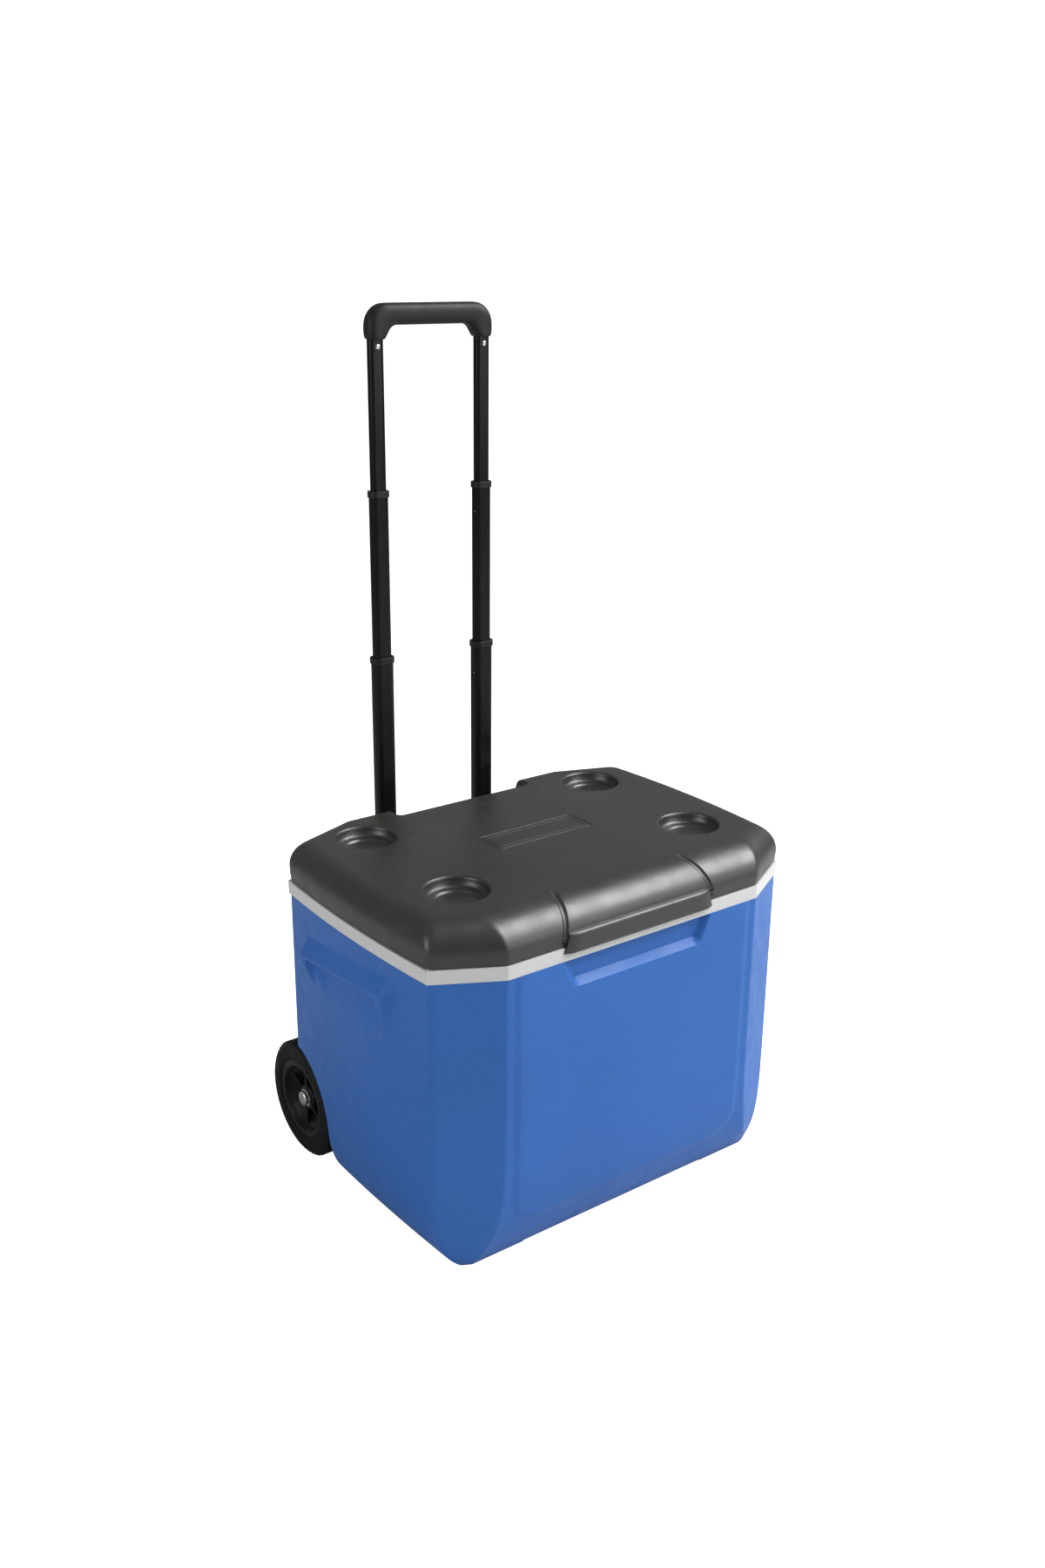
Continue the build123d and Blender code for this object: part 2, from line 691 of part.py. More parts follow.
# ---------------------------------------------------------------- axle and wheels
def turned(radius, start, end, side=1):
    """A cylinder on the axle's line, from start to end along X on one side."""
    with BuildPart() as disc:
        with Locations(Location((side * (start + end) / 2, wheel_y, wheel_z), (0, 90, 0))):
            Cylinder(radius, end - start)
    return disc.part


with BuildPart() as axle:
    add(turned(axle_radius, -axle_end_x, axle_end_x))
    chamfer(axle.edges().filter_by(GeomType.CIRCLE), 1.0)
finish_piece(axle, "axle")

with BuildPart() as axle_bushes:
    for name, side in SIDES:
        add(turned(axle_radius + 3.0, well_inner_x - 16.0, well_inner_x, side))
        add(turned(14.0, well_inner_x, bush_flange_x, side))
    add(turned(axle_radius, -width / 2, width / 2), mode=Mode.SUBTRACT)
finish_piece(axle_bushes, "axle_bushes")

hub_inner_x = bush_flange_x + washer + gap
with BuildPart() as inner_washers:
    for name, side in SIDES:
        add(turned(12.0, bush_flange_x, bush_flange_x + washer, side))
    add(turned(axle_radius, -width / 2, width / 2), mode=Mode.SUBTRACT)
finish_piece(inner_washers, "inner_washers")

cap_x = hub_outer_x + gap + washer
with BuildPart() as outer_washers:
    for name, side in SIDES:
        add(turned(12.0, hub_outer_x + gap, cap_x, side))
    add(turned(axle_radius, -width / 2, width / 2), mode=Mode.SUBTRACT)
finish_piece(outer_washers, "outer_washers")

with BuildPart() as axle_caps:
    for name, side in SIDES:
        add(turned(10.0, cap_x, axle_end_x + 2.5, side))
    rims = axle_caps.edges().filter_by(GeomType.CIRCLE).filter_by(lambda edge: abs(edge.center().X) > axle_end_x)
    fillet(rims, 2.5)
    add(axle.part, mode=Mode.SUBTRACT)
finish_piece(axle_caps, "axle_caps")

for name, side in SIDES:
    tyre_start = wheel_face_x - wheel_width
    with BuildPart() as tyre:
        add(turned(wheel_radius, tyre_start, wheel_face_x, side))
        fillet(tyre.edges().filter_by(GeomType.CIRCLE), 6.0)
        add(turned(tyre_inner, tyre_start - 1.0, wheel_face_x + 1.0, side), mode=Mode.SUBTRACT)
    finish_piece(tyre, f"tyre_{name}")

    with BuildPart() as hub:
        add(turned(tyre_inner, tyre_start + 1.0, wheel_face_x - 1.5, side))
        add(turned(tyre_inner - 4.0, wheel_face_x - 15.0, wheel_face_x, side), mode=Mode.SUBTRACT)
        add(turned(tyre_inner - 4.0, tyre_start - 1.0, wheel_face_x - 22.0, side), mode=Mode.SUBTRACT)
        add(turned(18.0, hub_inner_x, hub_outer_x, side))
        with Locations(Location((side * (wheel_face_x - 18.0), wheel_y, wheel_z), (0, 90, 0))):
            with PolarLocations(35.0, 6):
                Cylinder(9.0, 20.0, mode=Mode.SUBTRACT)
        add(turned(axle_radius + running, tyre_start - 5.0, wheel_face_x + 5.0, side), mode=Mode.SUBTRACT)
    finish_piece(hub, f"wheel_hub_{name}")

whole = Compound(children=pieces)
print("whole object", whole.bounding_box())
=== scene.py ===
"""Builds the looks of a wheeled cooler box around its fixed frame.

Metres, +Z up, in the frame's own axes: X across the width, -Y the front with the lid's pull lip, +Y the back
with the wheels and the handle. Each operator makes one piece or one group of like pieces.
"""
import json
import math

import bmesh
import bpy
from mathutils import Matrix, Vector


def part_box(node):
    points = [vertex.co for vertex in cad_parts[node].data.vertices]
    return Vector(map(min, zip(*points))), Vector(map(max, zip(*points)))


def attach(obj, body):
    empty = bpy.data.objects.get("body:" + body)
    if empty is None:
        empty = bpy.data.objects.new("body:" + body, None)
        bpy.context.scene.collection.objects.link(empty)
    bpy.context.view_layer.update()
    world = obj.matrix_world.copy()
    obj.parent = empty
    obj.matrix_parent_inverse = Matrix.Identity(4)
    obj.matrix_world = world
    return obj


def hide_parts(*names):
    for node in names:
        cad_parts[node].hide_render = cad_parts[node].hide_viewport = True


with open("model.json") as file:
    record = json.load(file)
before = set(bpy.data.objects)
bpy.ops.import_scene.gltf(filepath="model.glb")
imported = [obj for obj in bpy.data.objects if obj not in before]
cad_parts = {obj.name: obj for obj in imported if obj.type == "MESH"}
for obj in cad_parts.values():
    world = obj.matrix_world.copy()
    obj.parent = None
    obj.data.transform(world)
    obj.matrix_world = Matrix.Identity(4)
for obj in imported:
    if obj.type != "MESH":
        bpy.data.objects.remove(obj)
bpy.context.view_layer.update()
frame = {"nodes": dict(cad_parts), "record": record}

bl_info = {
    "name": "Wheeled Cooler Box",
    "version": (1, 0, 0),
    "blender": (4, 5, 0),
    "location": "3D View > Sidebar > Cooler",
    "description": "Makes the visible pieces and finishes of a wheeled cooler box",
    "category": "Object",
}

# ---------------------------------------------------------------- places read from the frame
RIM_LOW, RIM_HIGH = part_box("tub_liner")
SHELL_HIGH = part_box("body_shell")[1]
LID_LOW, LID_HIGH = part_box("lid_cover")
PAN_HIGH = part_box("lid_pan")[1]
TYRE_LOW, TYRE_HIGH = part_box("tyre_right")
GRIP_LOW, GRIP_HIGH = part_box("handle_grip")
GUIDE_LOW, GUIDE_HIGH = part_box("guide_tube_right")
STAGE_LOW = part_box("stage_3_tube_right")[0]
WASHER_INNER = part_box("inner_washers")[1].x
WASHER_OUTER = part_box("outer_washers")[1].x

HALF_WIDTH = RIM_HIGH.x      # at the middle of the two sides, which bow out
FRONT = RIM_LOW.y
REAR = RIM_HIGH.y
MIDDLE_Y = (FRONT + REAR) / 2
SHELL_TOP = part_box("foam_core")[1].z
LID_BOTTOM = RIM_HIGH.z + 0.0003
LID_TOP = LID_HIGH.z
GRIP_TIP = SHELL_HIGH.x
WHEEL_Y = (TYRE_LOW.y + TYRE_HIGH.y) / 2
WHEEL_Z = (TYRE_LOW.z + TYRE_HIGH.z) / 2
WHEEL_RADIUS = (TYRE_HIGH.z - TYRE_LOW.z) / 2
TUBE_X = (GUIDE_LOW.x + GUIDE_HIGH.x) / 2
SIDES = (("left", -1), ("right", 1))

# sides of the eight-sided plan, counter-clockwise from the front as seen from above
FRONT_SIDE, RIGHT_FRONT, RIGHT, RIGHT_REAR, REAR_SIDE, LEFT_REAR, LEFT, LEFT_FRONT = range(8)


# ---------------------------------------------------------------- settings a user would change
def length_setting(name, description, default):
    """A length in metres."""
    return bpy.props.FloatProperty(name=name, description=description, default=default, unit="LENGTH")


def colour_setting(name, description, default):
    """The base colour of one finish."""
    return bpy.props.FloatVectorProperty(
        name=name, description=description, default=default, subtype="COLOR", size=3)


class CoolerShape(bpy.types.PropertyGroup):
    """Sizes of the moulded shapes."""

    wall: length_setting("Wall", "Thickness of the shell and the lid", 0.0035)
    corner_round: length_setting("Corner rounding", "Radius of the box's upright edges", 0.011)
    edge_round: length_setting("Edge rounding", "Radius of the moulded edges", 0.003)
    side_bow: length_setting("Side bow", "How far the sides bow out between the corners", 0.007)
    front_cut_x: length_setting("Front corner, across", "Front corner facet, along X", 0.081)
    front_cut_y: length_setting("Front corner, deep", "Front corner facet, along Y", 0.044)
    rear_cut_x: length_setting("Rear corner, across", "Rear corner facet, along X", 0.089)
    rear_cut_y: length_setting("Rear corner, deep", "Rear corner facet, along Y", 0.033)
    panel_relief: length_setting("Front panel relief", "How far the front panel stands out", 0.0018)
    panel_half: length_setting("Front panel half width", "Half the front panel's width", 0.182)
    recess_depth: length_setting("Pull recess depth", "Depth of the finger recess in front", 0.0092)
    pocket_depth: length_setting("Hand pocket depth", "How far the pocket under each grip goes in", 0.009)
    front_roll: length_setting("Front roll", "Depth of the rolled front of the lid", 0.050)
    side_roll: length_setting("Side roll", "Width of the rolled sides of the lid", 0.029)
    cup_radius: length_setting("Cup holder radius", "Radius of each cup holder", 0.039)
    cup_depth: length_setting("Cup holder depth", "Depth of each cup holder", 0.016)
    tread_blocks: bpy.props.IntProperty(
        name="Tread blocks", description="Blocks around each tyre", default=54, min=3)
    hub_spokes: bpy.props.IntProperty(
        name="Hub spokes", description="Ribs in each wheel's dished hub", default=6, min=3)


class CoolerColours(bpy.types.PropertyGroup):
    """Base colours of the finishes."""

    shell: colour_setting("Shell", "Moulded outer shell", (0.026, 0.114, 0.385))
    rim: colour_setting("Rim and tub", "White inner parts", (0.50, 0.505, 0.50))
    lid: colour_setting("Lid", "Charcoal lid", (0.016, 0.016, 0.0135))
    foam: colour_setting("Insulation", "Foam inside the walls", (0.80, 0.72, 0.46))
    black: colour_setting("Black plastic", "Brackets and collars", (0.006, 0.006, 0.0065))
    grip: colour_setting("Grip", "Handle grip", (0.010, 0.010, 0.010))
    tube: colour_setting("Tubes", "Painted handle tubes", (0.004, 0.0045, 0.005))
    steel: colour_setting("Steel", "Zinc-plated steel", (0.56, 0.57, 0.58))
    tyre: colour_setting("Tyre", "Tyres", (0.004, 0.004, 0.0042))
    wheel: colour_setting("Wheel", "Wheel hubs", (0.005, 0.005, 0.005))
    floor: colour_setting("Floor", "Studio floor", (0.55, 0.55, 0.55))


# ---------------------------------------------------------------- small sums
def smooth_step(value, start, end):
    """0 before start, 1 after end, and an even rise between them; end may be below start."""
    share = min(max((value - start) / (end - start), 0.0), 1.0)
    return share * share * (3 - 2 * share)


def straight_step(value, start, end):
    """0 before start, 1 after end, and a straight ramp between them."""
    return min(max((value - start) / (end - start), 0.0), 1.0)


def quarter_round(steps):
    """(sine, 1 - cosine) of a quarter circle from its start to its end."""
    angles = [math.pi / 2 * step / steps for step in range(steps + 1)]
    return [(math.sin(angle), 1 - math.cos(angle)) for angle in angles]


def even_steps(start, end, pitch):
    """Numbers from start to end, pitch apart or a little less."""
    count = max(1, math.ceil(abs(end - start) / pitch))
    return [start + (end - start) * step / count for step in range(count + 1)]


# ---------------------------------------------------------------- mesh helpers
def new_piece(name, points, faces):
    """A new object from points and faces, linked to the scene."""
    mesh = bpy.data.meshes.new(name)
    mesh.from_pydata([tuple(point) for point in points], [], faces)
    piece = bpy.data.objects.new(name, mesh)
    bpy.context.scene.collection.objects.link(piece)
    return piece


def loft(name, rings, joined=False):
    """A skin over rings of the same number of points; joined closes the last ring onto the first."""
    size = len(rings[0])
    points = [point for ring in rings for point in ring]
    pairs = [(row, row + 1) for row in range(len(rings) - 1)]
    if joined:
        pairs.append((len(rings) - 1, 0))
    faces = []
    for low, high in pairs:
        for index in range(size):
            after = (index + 1) % size
            faces.append((low * size + index, low * size + after, high * size + after, high * size + index))
    if not joined:
        faces.append(tuple(reversed(range(size))))
        faces.append(tuple(range((len(rings) - 1) * size, len(rings) * size)))
    piece = new_piece(name, points, faces)
    tidy_mesh(piece)
    return piece


def tidy_mesh(piece, sharp_angle=math.radians(32)):
    """Merges doubles, turns faces outwards and shades the piece smooth between its sharp edges."""
    work = bmesh.new()
    work.from_mesh(piece.data)
    bmesh.ops.remove_doubles(work, verts=work.verts, dist=2e-6)
    bmesh.ops.dissolve_degenerate(work, edges=work.edges, dist=1e-6)
    bmesh.ops.recalc_face_normals(work, faces=work.faces)
    work.to_mesh(piece.data)
    work.free()
    piece.data.shade_smooth()
    piece.data.set_sharp_from_angle(angle=sharp_angle)


def apply_modifiers(piece):
    """Turns the piece's evaluated shape into its plain mesh and drops its modifiers."""
    graph = bpy.context.evaluated_depsgraph_get()
    mesh = bpy.data.meshes.new_from_object(piece.evaluated_get(graph))
    piece.modifiers.clear()
    old = piece.data
    piece.data = mesh
    bpy.data.meshes.remove(old)
    mesh.name = piece.name


def carve(piece, tool, operation="DIFFERENCE"):
    """Cuts the tool out of the piece, or joins it on, and removes the tool."""
    modifier = piece.modifiers.new("carve", "BOOLEAN")
    modifier.operation = operation
    modifier.solver = "EXACT"
    modifier.object = tool
    apply_modifiers(piece)
    bpy.data.objects.remove(tool)


def join(name, pieces):
    """One object from several."""
    work = bmesh.new()
    for piece in pieces:
        work.from_mesh(piece.data)
        bpy.data.objects.remove(piece)
    mesh = bpy.data.meshes.new(name)
    work.to_mesh(mesh)
    work.free()
    whole = bpy.data.objects.new(name, mesh)
    bpy.context.scene.collection.objects.link(whole)
    return whole


def round_outline(centre, half_x, half_y, radius, grow=0.0, steps=6):
    """A rounded rectangle in XY, counter-clockwise; radius equal to both halves makes a circle."""
    points = []
    corners = ((1, 1, 0), (-1, 1, 90), (-1, -1, 180), (1, -1, 270))
    for sign_x, sign_y, start in corners:
        middle_x = centre[0] + sign_x * (half_x - radius)
        middle_y = centre[1] + sign_y * (half_y - radius)
        for step in range(steps + 1):
            angle = math.radians(start + 90 * step / steps)
            reach = radius + grow
            points.append((middle_x + reach * math.cos(angle), middle_y + reach * math.sin(angle)))
    return points


def sunk_tool(name, outline, floor, surface, flare):
    """A cutting tool for a hollow sunk from above, with a rounded mouth; outline(grow) gives its plan."""
    rings = [[(x, y, floor) for x, y in outline(0.0)]]
    for rise, outward in quarter_round(6):
        height = surface - flare + flare * rise
        rings.append([(x, y, height) for x, y in outline(flare * outward)])
    rings.append([(x, y, surface + 0.02) for x, y in outline(flare)])
    return loft(name, rings)


def tube_along(name, path, radii, sides=14):
    """A round bar with a radius at each point of its path."""
    rings = []
    for index, point in enumerate(path):
        before = path[max(index - 1, 0)]
        after = path[min(index + 1, len(path) - 1)]
        turn = (after - before).to_track_quat("Z", "X")
        ring = []
        for step in range(sides):
            angle = 2 * math.pi * step / sides
            ring.append(point + turn @ Vector((math.cos(angle), math.sin(angle), 0)) * radii[index])
        rings.append(ring)
    return loft(name, rings)


def turned_piece(name, profile, side, segments=96):
    """A closed ring turned about the axle; profile is (x, radius) on the right-hand wheel."""
    rings = []
    for step in range(segments):
        angle = 2 * math.pi * step / segments
        across, up = math.cos(angle), math.sin(angle)
        rings.append([(side * x, WHEEL_Y + radius * across, WHEEL_Z + radius * up) for x, radius in profile])
    return loft(name, rings, joined=True)


def rounded_profile(corners, steps=5):
    """A closed profile with rounded corners, from (x, y, radius) corners in order."""
    points = []
    count = len(corners)
    for index, (x, y, radius) in enumerate(corners):
        here = Vector((x, y))
        back = (Vector(corners[index - 1][:2]) - here).normalized()
        ahead = (Vector(corners[(index + 1) % count][:2]) - here).normalized()
        if radius <= 0:
            points.append((x, y))
            continue
        half = back.angle(ahead) / 2
        reach = radius / math.tan(half)
        centre = here + (back + ahead).normalized() * radius / math.sin(half)
        start = here + back * reach - centre
        end = here + ahead * reach - centre
        sweep = start.angle_signed(end)
        for step in range(steps + 1):
            turn = Matrix.Rotation(-sweep * step / steps, 2)
            points.append(tuple(centre + turn @ start))
    return points


# ---------------------------------------------------------------- the eight-sided plan
class Plan:
    """The box's plan as a ring of points, with the side that each point lies on."""

    def __init__(self, shape, pitch, rear_pitch=0.012):
        self.shape = shape
        half = HALF_WIDTH - shape.side_bow
        self.corners = [
            (-half + shape.front_cut_x, FRONT), (half - shape.front_cut_x, FRONT),
            (half, FRONT + shape.front_cut_y), (half, REAR - shape.rear_cut_y),
            (half - shape.rear_cut_x, REAR), (-half + shape.rear_cut_x, REAR),
            (-half, REAR - shape.rear_cut_y), (-half, FRONT + shape.front_cut_y),
        ]
        self.counts = []
        for side in range(8):
            start, end = Vector(self.corners[side]), Vector(self.corners[(side + 1) % 8])
            step = rear_pitch if side in (RIGHT_REAR, REAR_SIDE, LEFT_REAR) else pitch
            self.counts.append(max(2, math.ceil((end - start).length / step)))

    def normal(self, side):
        along = Vector(self.corners[(side + 1) % 8]) - Vector(self.corners[side])
        return Vector((along.y, -along.x)).normalized()

    def corner(self, side, insets):
        """Where a side's inset line meets the line of the side before it."""
        lines = []
        for other in ((side - 1) % 8, side):
            normal = self.normal(other)
            lines.append((normal, normal.dot(Vector(self.corners[other])) - insets[other]))
        (first, reach_1), (second, reach_2) = lines
        area = first.x * second.y - first.y * second.x
        return Vector(((reach_1 * second.y - reach_2 * first.y) / area,
                       (first.x * reach_2 - second.x * reach_1) / area))

    def ring(self, insets, radius, steps=5, bow=1.0):
        """Points (x, y, side, next side, share) round the plan, each side moved in by its own inset."""
        if not isinstance(insets, (list, tuple)):
            insets = [insets] * 8
        tips = [self.corner(side, insets) for side in range(8)]
        points = []
        for side in range(8):
            here, after = tips[side], tips[(side + 1) % 8]
            along = (after - here).normalized()
            back = (tips[side - 1] - here).normalized()
            half = back.angle(along) / 2
            reach = radius / math.tan(half)
            centre = here + (back + along).normalized() * radius / math.sin(half)
            start = here + back * reach - centre
            end = here + along * reach - centre
            sweep = start.angle_signed(end)
            for step in range(steps + 1):
                turn = Matrix.Rotation(-sweep * step / steps, 2)
                spot = centre + turn @ start
                points.append((spot.x, spot.y, (side - 1) % 8, side, step / steps))
            next_half = (here - after).angle(tips[(side + 2) % 8] - after) / 2
            first = here + along * reach
            last = after - along * radius / math.tan(next_half)
            for step in range(1, self.counts[side]):
                share = step / self.counts[side]
                spot = first.lerp(last, share)
                if side in (LEFT, RIGHT):
                    spot += self.normal(side) * self.shape.side_bow * bow * 4 * share * (1 - share)
                points.append((spot.x, spot.y, side, side, 0.0))
        return points


# ---------------------------------------------------------------- outer shell
# how the ends, cut corners and sides roll in towards the foot: inset everywhere, extra inset at the floor, and
# the height over which that extra fades
WALL_ROLLS = ((0.0010, 0.0290, 0.036), (0.0005, 0.0115, 0.016), (0.0005, 0.0365, 0.028))
PANEL_CORNER = 0.042
PANEL_LOW = 0.048
PANEL_EDGE = 0.0045
# the finger recess: foot and top of its sloping lip, half widths at its foot and at the top, and its end slopes
RECESS_LOW = 0.350
RECESS_LIP = 0.3580
RECESS_HALF_LOW = 0.098
RECESS_HALF_HIGH = 0.116
RECESS_SLOPE = 0.006
# the wheel wells: their inner faces, the gap round the tyre, and how far the tool passes the floor and the wall
WELL_INNER = 0.226
WELL_GAP = 0.006
WELL_FOOT = -0.02
WELL_PAST = 0.04
# the raised middle of the base: its height above the floor and its half width
FOOT_GAP = 0.004
FOOT_HALF = 0.150


def wall_insets(height):
    """How far each side of the plain wall lies inside the rim's plan: it rolls in towards the foot."""
    end, cut, side = [plain + roll * math.exp(-height / fade) for plain, roll, fade in WALL_ROLLS]
    return [end, cut, side, cut, end, cut, side, cut]


def panel_offset(shape, x, z):
    """The front panel stands out a little, with large rounded lower corners."""
    past_side = abs(x) - (shape.panel_half - PANEL_CORNER)
    past_low = (PANEL_LOW + PANEL_CORNER) - z
    if past_side > 0 and past_low > 0:
        outside = math.hypot(past_side, past_low) - PANEL_CORNER
    else:
        outside = max(past_side, past_low) - PANEL_CORNER
    return shape.panel_relief * smooth_step(outside, PANEL_EDGE, -PANEL_EDGE)


def recess_offset(shape, x, z):
    """The finger recess under the lid's pull lip: slanted ends and a sloping lower lip."""
    half = RECESS_HALF_LOW + (RECESS_HALF_HIGH - RECESS_HALF_LOW) * straight_step(z, RECESS_LOW, SHELL_TOP)
    ends = straight_step(abs(x), half, half - RECESS_SLOPE)
    lower = straight_step(z, RECESS_LOW, RECESS_LIP)
    return -shape.recess_depth * ends * lower


# the hand grips: the hood's ends where it leaves the wall and where it is full, the height of its edge at the
# front, how much lower the edge is at the rear, how far above the edge the hood starts, and the cheeks' foot
HOOD_ENDS = (-0.1165, 0.0960)
HOOD_FULL = (-0.1045, 0.0860)
HOOD_EDGE = 0.343
HOOD_DROP = 0.020
HOOD_RISE = 0.024
CHEEK_LOW = 0.284
# the finger pocket under each hood: its ends where it starts and where it is full, its low and high limits,
# and the thickness of the lip above it
POCKET_ENDS = (-0.0900, 0.0750)
POCKET_FULL = (-0.0850, 0.0700)
POCKET_LOW = 0.2805
POCKET_TOP = 0.3365
LIP = 0.0030


def grip_offset(shape, y, z):
    """A moulded hand grip: a hood that leans out, solid cheeks at its ends, and a scooped pocket beneath."""
    edge = HOOD_EDGE - HOOD_DROP * straight_step(y, -0.104, HOOD_FULL[1])
    reach = GRIP_TIP - HALF_WIDTH + shape.side_bow * ((y + 0.022) / 0.160) ** 2
    hood = straight_step(z, edge + HOOD_RISE, edge + 0.001)
    cheek = straight_step(z, CHEEK_LOW, edge - 0.010)
    ends = straight_step(y, HOOD_ENDS[0], HOOD_FULL[0]) * straight_step(y, HOOD_ENDS[1], HOOD_FULL[1])
    outward = reach * min(hood, cheek) * ends
    low = POCKET_LOW + 0.036 * smooth_step(y, 0.030, 0.072) ** 2
    inside = straight_step(y, POCKET_ENDS[0], POCKET_FULL[0])
    inside *= straight_step(y, POCKET_ENDS[1], POCKET_FULL[1])
    under = min(edge - LIP, POCKET_TOP)
    inside *= straight_step(z, under, under - LIP)
    scoop = straight_step(z, low, edge)
    return outward * (1 - inside) - shape.pocket_depth * scoop * inside


def shell_offset(shape, side, x, y, z):
    """How far the outer wall stands out from its plain plan at one point."""
    if side == FRONT_SIDE:
        return panel_offset(shape, x, z) + recess_offset(shape, x, z)
    if side in (LEFT, RIGHT):
        return grip_offset(shape, y, z)
    return 0.0


def shell_rows():
    """Heights of the shell's rows: close together at the foot, the grips' edges and the recess."""
    rows = [0.0, 0.0015, 0.004]
    rows += even_steps(0.007, 0.105, 0.0035)
    rows += even_steps(0.112, 0.272, 0.0080)
    rows += even_steps(0.276, 0.3150, 0.0026)
    rows += even_steps(0.3160, 0.3400, 0.0009)
    rows += even_steps(0.3420, 0.3480, 0.0020)
    rows += even_steps(0.3490, 0.3590, 0.0010)
    rows += even_steps(0.3610, SHELL_TOP - 0.0012, 0.0040)
    rows += [SHELL_TOP]
    return rows


def shell_ring(plan, shape, height, extra, detailed):
    """One row of the shell; extra moves it inwards, and detailed adds the panel, recess and grips."""
    insets = [inset + extra for inset in wall_insets(height)]
    tightness = 1 - math.exp(-height / 0.020)
    radius = max(shape.corner_round * (0.5 + 0.5 * tightness) - extra, 0.003)
    ring = []
    for x, y, side, other, share in plan.ring(insets, radius, bow=0.15 + 0.85 * tightness):
        out = shell_offset(shape, side, x, y, height) if side == other else 0.0
        if not detailed:
            out = min(out, 0.0)
        normal = plan.normal(side)
        ring.append((x + normal.x * out, y + normal.y * out, height))
    return ring


def well_outline(grow):
    """The wheel well in side view, as (y, z): an arch round the wheel, open below and behind."""
    radius = WHEEL_RADIUS + WELL_GAP + grow
    points = [(WHEEL_Y - radius, WELL_FOOT)]
    for step in range(33):
        angle = math.pi - math.pi * step / 32
        points.append((WHEEL_Y + radius * math.cos(angle), WHEEL_Z + radius * math.sin(angle)))
    points.append((WHEEL_Y + radius, WELL_FOOT))
    return points


def well_tool(side, grow, shape=None):
    """Cuts a wheel well; with a shape it also rolls the well's outer edge."""
    inner_x = WELL_INNER - grow
    rings = [[(side * inner_x, y, z) for y, z in well_outline(grow)]]
    if shape:
        flare = shape.edge_round
        for rise, outward in quarter_round(6):
            ring = []
            for y, z in well_outline(flare * outward):
                wall_x = HALF_WIDTH - shape.side_bow - wall_insets(max(z, 0.0))[LEFT]
                ring.append((side * (wall_x - flare + flare * rise), y, z))
            rings.append(ring)
        rings.append([(side * (HALF_WIDTH + WELL_PAST), y, z) for y, z in well_outline(flare)])
    else:
        rings.append([(side * (HALF_WIDTH + WELL_PAST), y, z) for y, z in well_outline(grow)])
    return loft("well_tool", rings)


def block(name, low, high):
    """A plain box used only as a cutting tool."""
    points = [(x, y, z) for z in (low[2], high[2]) for x, y in
              ((low[0], low[1]), (high[0], low[1]), (high[0], high[1]), (low[0], high[1]))]
    return loft(name, [points[:4], points[4:]])


class COOLER_OT_shell(bpy.types.Operator):
    """Makes the moulded outer shell with its grips, recess, front panel and wheel wells"""

    bl_idname = "cooler.shell"
    bl_label = "Outer shell"

    def execute(self, context):
        shape = context.scene.cooler_shape
        plan = Plan(shape, 0.0032)
        rows = shell_rows()
        shell = loft("cooler_shell", [shell_ring(plan, shape, z, 0.0, True) for z in rows])
        inner_rows = [0.0075, 0.012] + rows[6::3] + [SHELL_TOP + 0.002]
        coarse = Plan(shape, 0.006)
        cavity = loft("cavity", [shell_ring(coarse, shape, z, shape.wall, False) for z in inner_rows])
        for name, side in SIDES:
            carve(cavity, well_tool(side, shape.wall))
        carve(shell, cavity)
        for name, side in SIDES:
            carve(shell, well_tool(side, 0.0, shape))
        carve(shell, block("foot_gap", (-FOOT_HALF, FRONT - 0.1, -0.01), (FOOT_HALF, REAR + 0.1, FOOT_GAP)))
        carve(shell, block("foot_gap", (-0.4, MIDDLE_Y - 0.060, -0.01), (0.4, REAR + 0.1, FOOT_GAP)))
        dress(shell, "shell_plastic", "cooler", "body_shell")
        return {"FINISHED"}


# ---------------------------------------------------------------- lid
def lid_rolls(shape):
    """Each side's roll, as (width across, height where it starts)."""
    front = (shape.front_roll, LID_BOTTOM + 0.0125)
    side = (shape.side_roll, LID_BOTTOM + 0.0200)
    corner = (0.040, LID_BOTTOM + 0.0150)
    rear = (0.014, LID_BOTTOM + 0.0300)
    rear_corner = (0.021, LID_BOTTOM + 0.0250)
    return [front, corner, side, rear_corner, rear, rear_corner, side, corner]


def lid_ring(plan, shape, turn, extra):
    """One row of the lid's roll: turn runs from 0 at its foot to a quarter circle at the flat top."""
    rolls = lid_rolls(shape)
    insets = [width * (1 - math.cos(turn)) + extra for width, start in rolls]
    radius = shape.corner_round + 0.004 * math.sin(turn) - extra
    heights = [start + (LID_TOP - extra - start) * math.sin(turn) for width, start in rolls]
    ring = []
    for x, y, side, other, share in plan.ring(insets, max(radius, 0.004)):
        ring.append((x, y, heights[side] + (heights[other] - heights[side]) * share))
    return ring


def lid_block(plan, shape, extra, bottom):
    """The lid's outer form as one solid, moved inwards by extra."""
    rings = []
    band = ((0.0, 0.0026), (0.0008, 0.0016), (0.0030, 0.0012), (0.0105, 0.0004))
    rear_round = 0.0078
    for rise, inset in band:
        rear_rows = [inset + extra] * 8
        if rise < rear_round:
            rear_rows[REAR_SIDE] = rear_round * (1 - math.sqrt(1 - (1 - rise / rear_round) ** 2)) + extra
        ring = plan.ring(rear_rows, max(shape.corner_round - extra, 0.004))
        rings.append([(x, y, bottom + rise) for x, y, side, other, share in ring])
    steps = 14
    for step in range(steps + 1):
        rings.append(lid_ring(plan, shape, math.pi / 2 * step / steps, extra))
    return loft("lid_block", rings)


CUP_X = 0.185
CUP_ROWS = (0.124, -0.080)


def cup_places():
    """Middles of the four cup holders."""
    return [(x, MIDDLE_Y + y) for x in (-CUP_X, CUP_X) for y in CUP_ROWS]


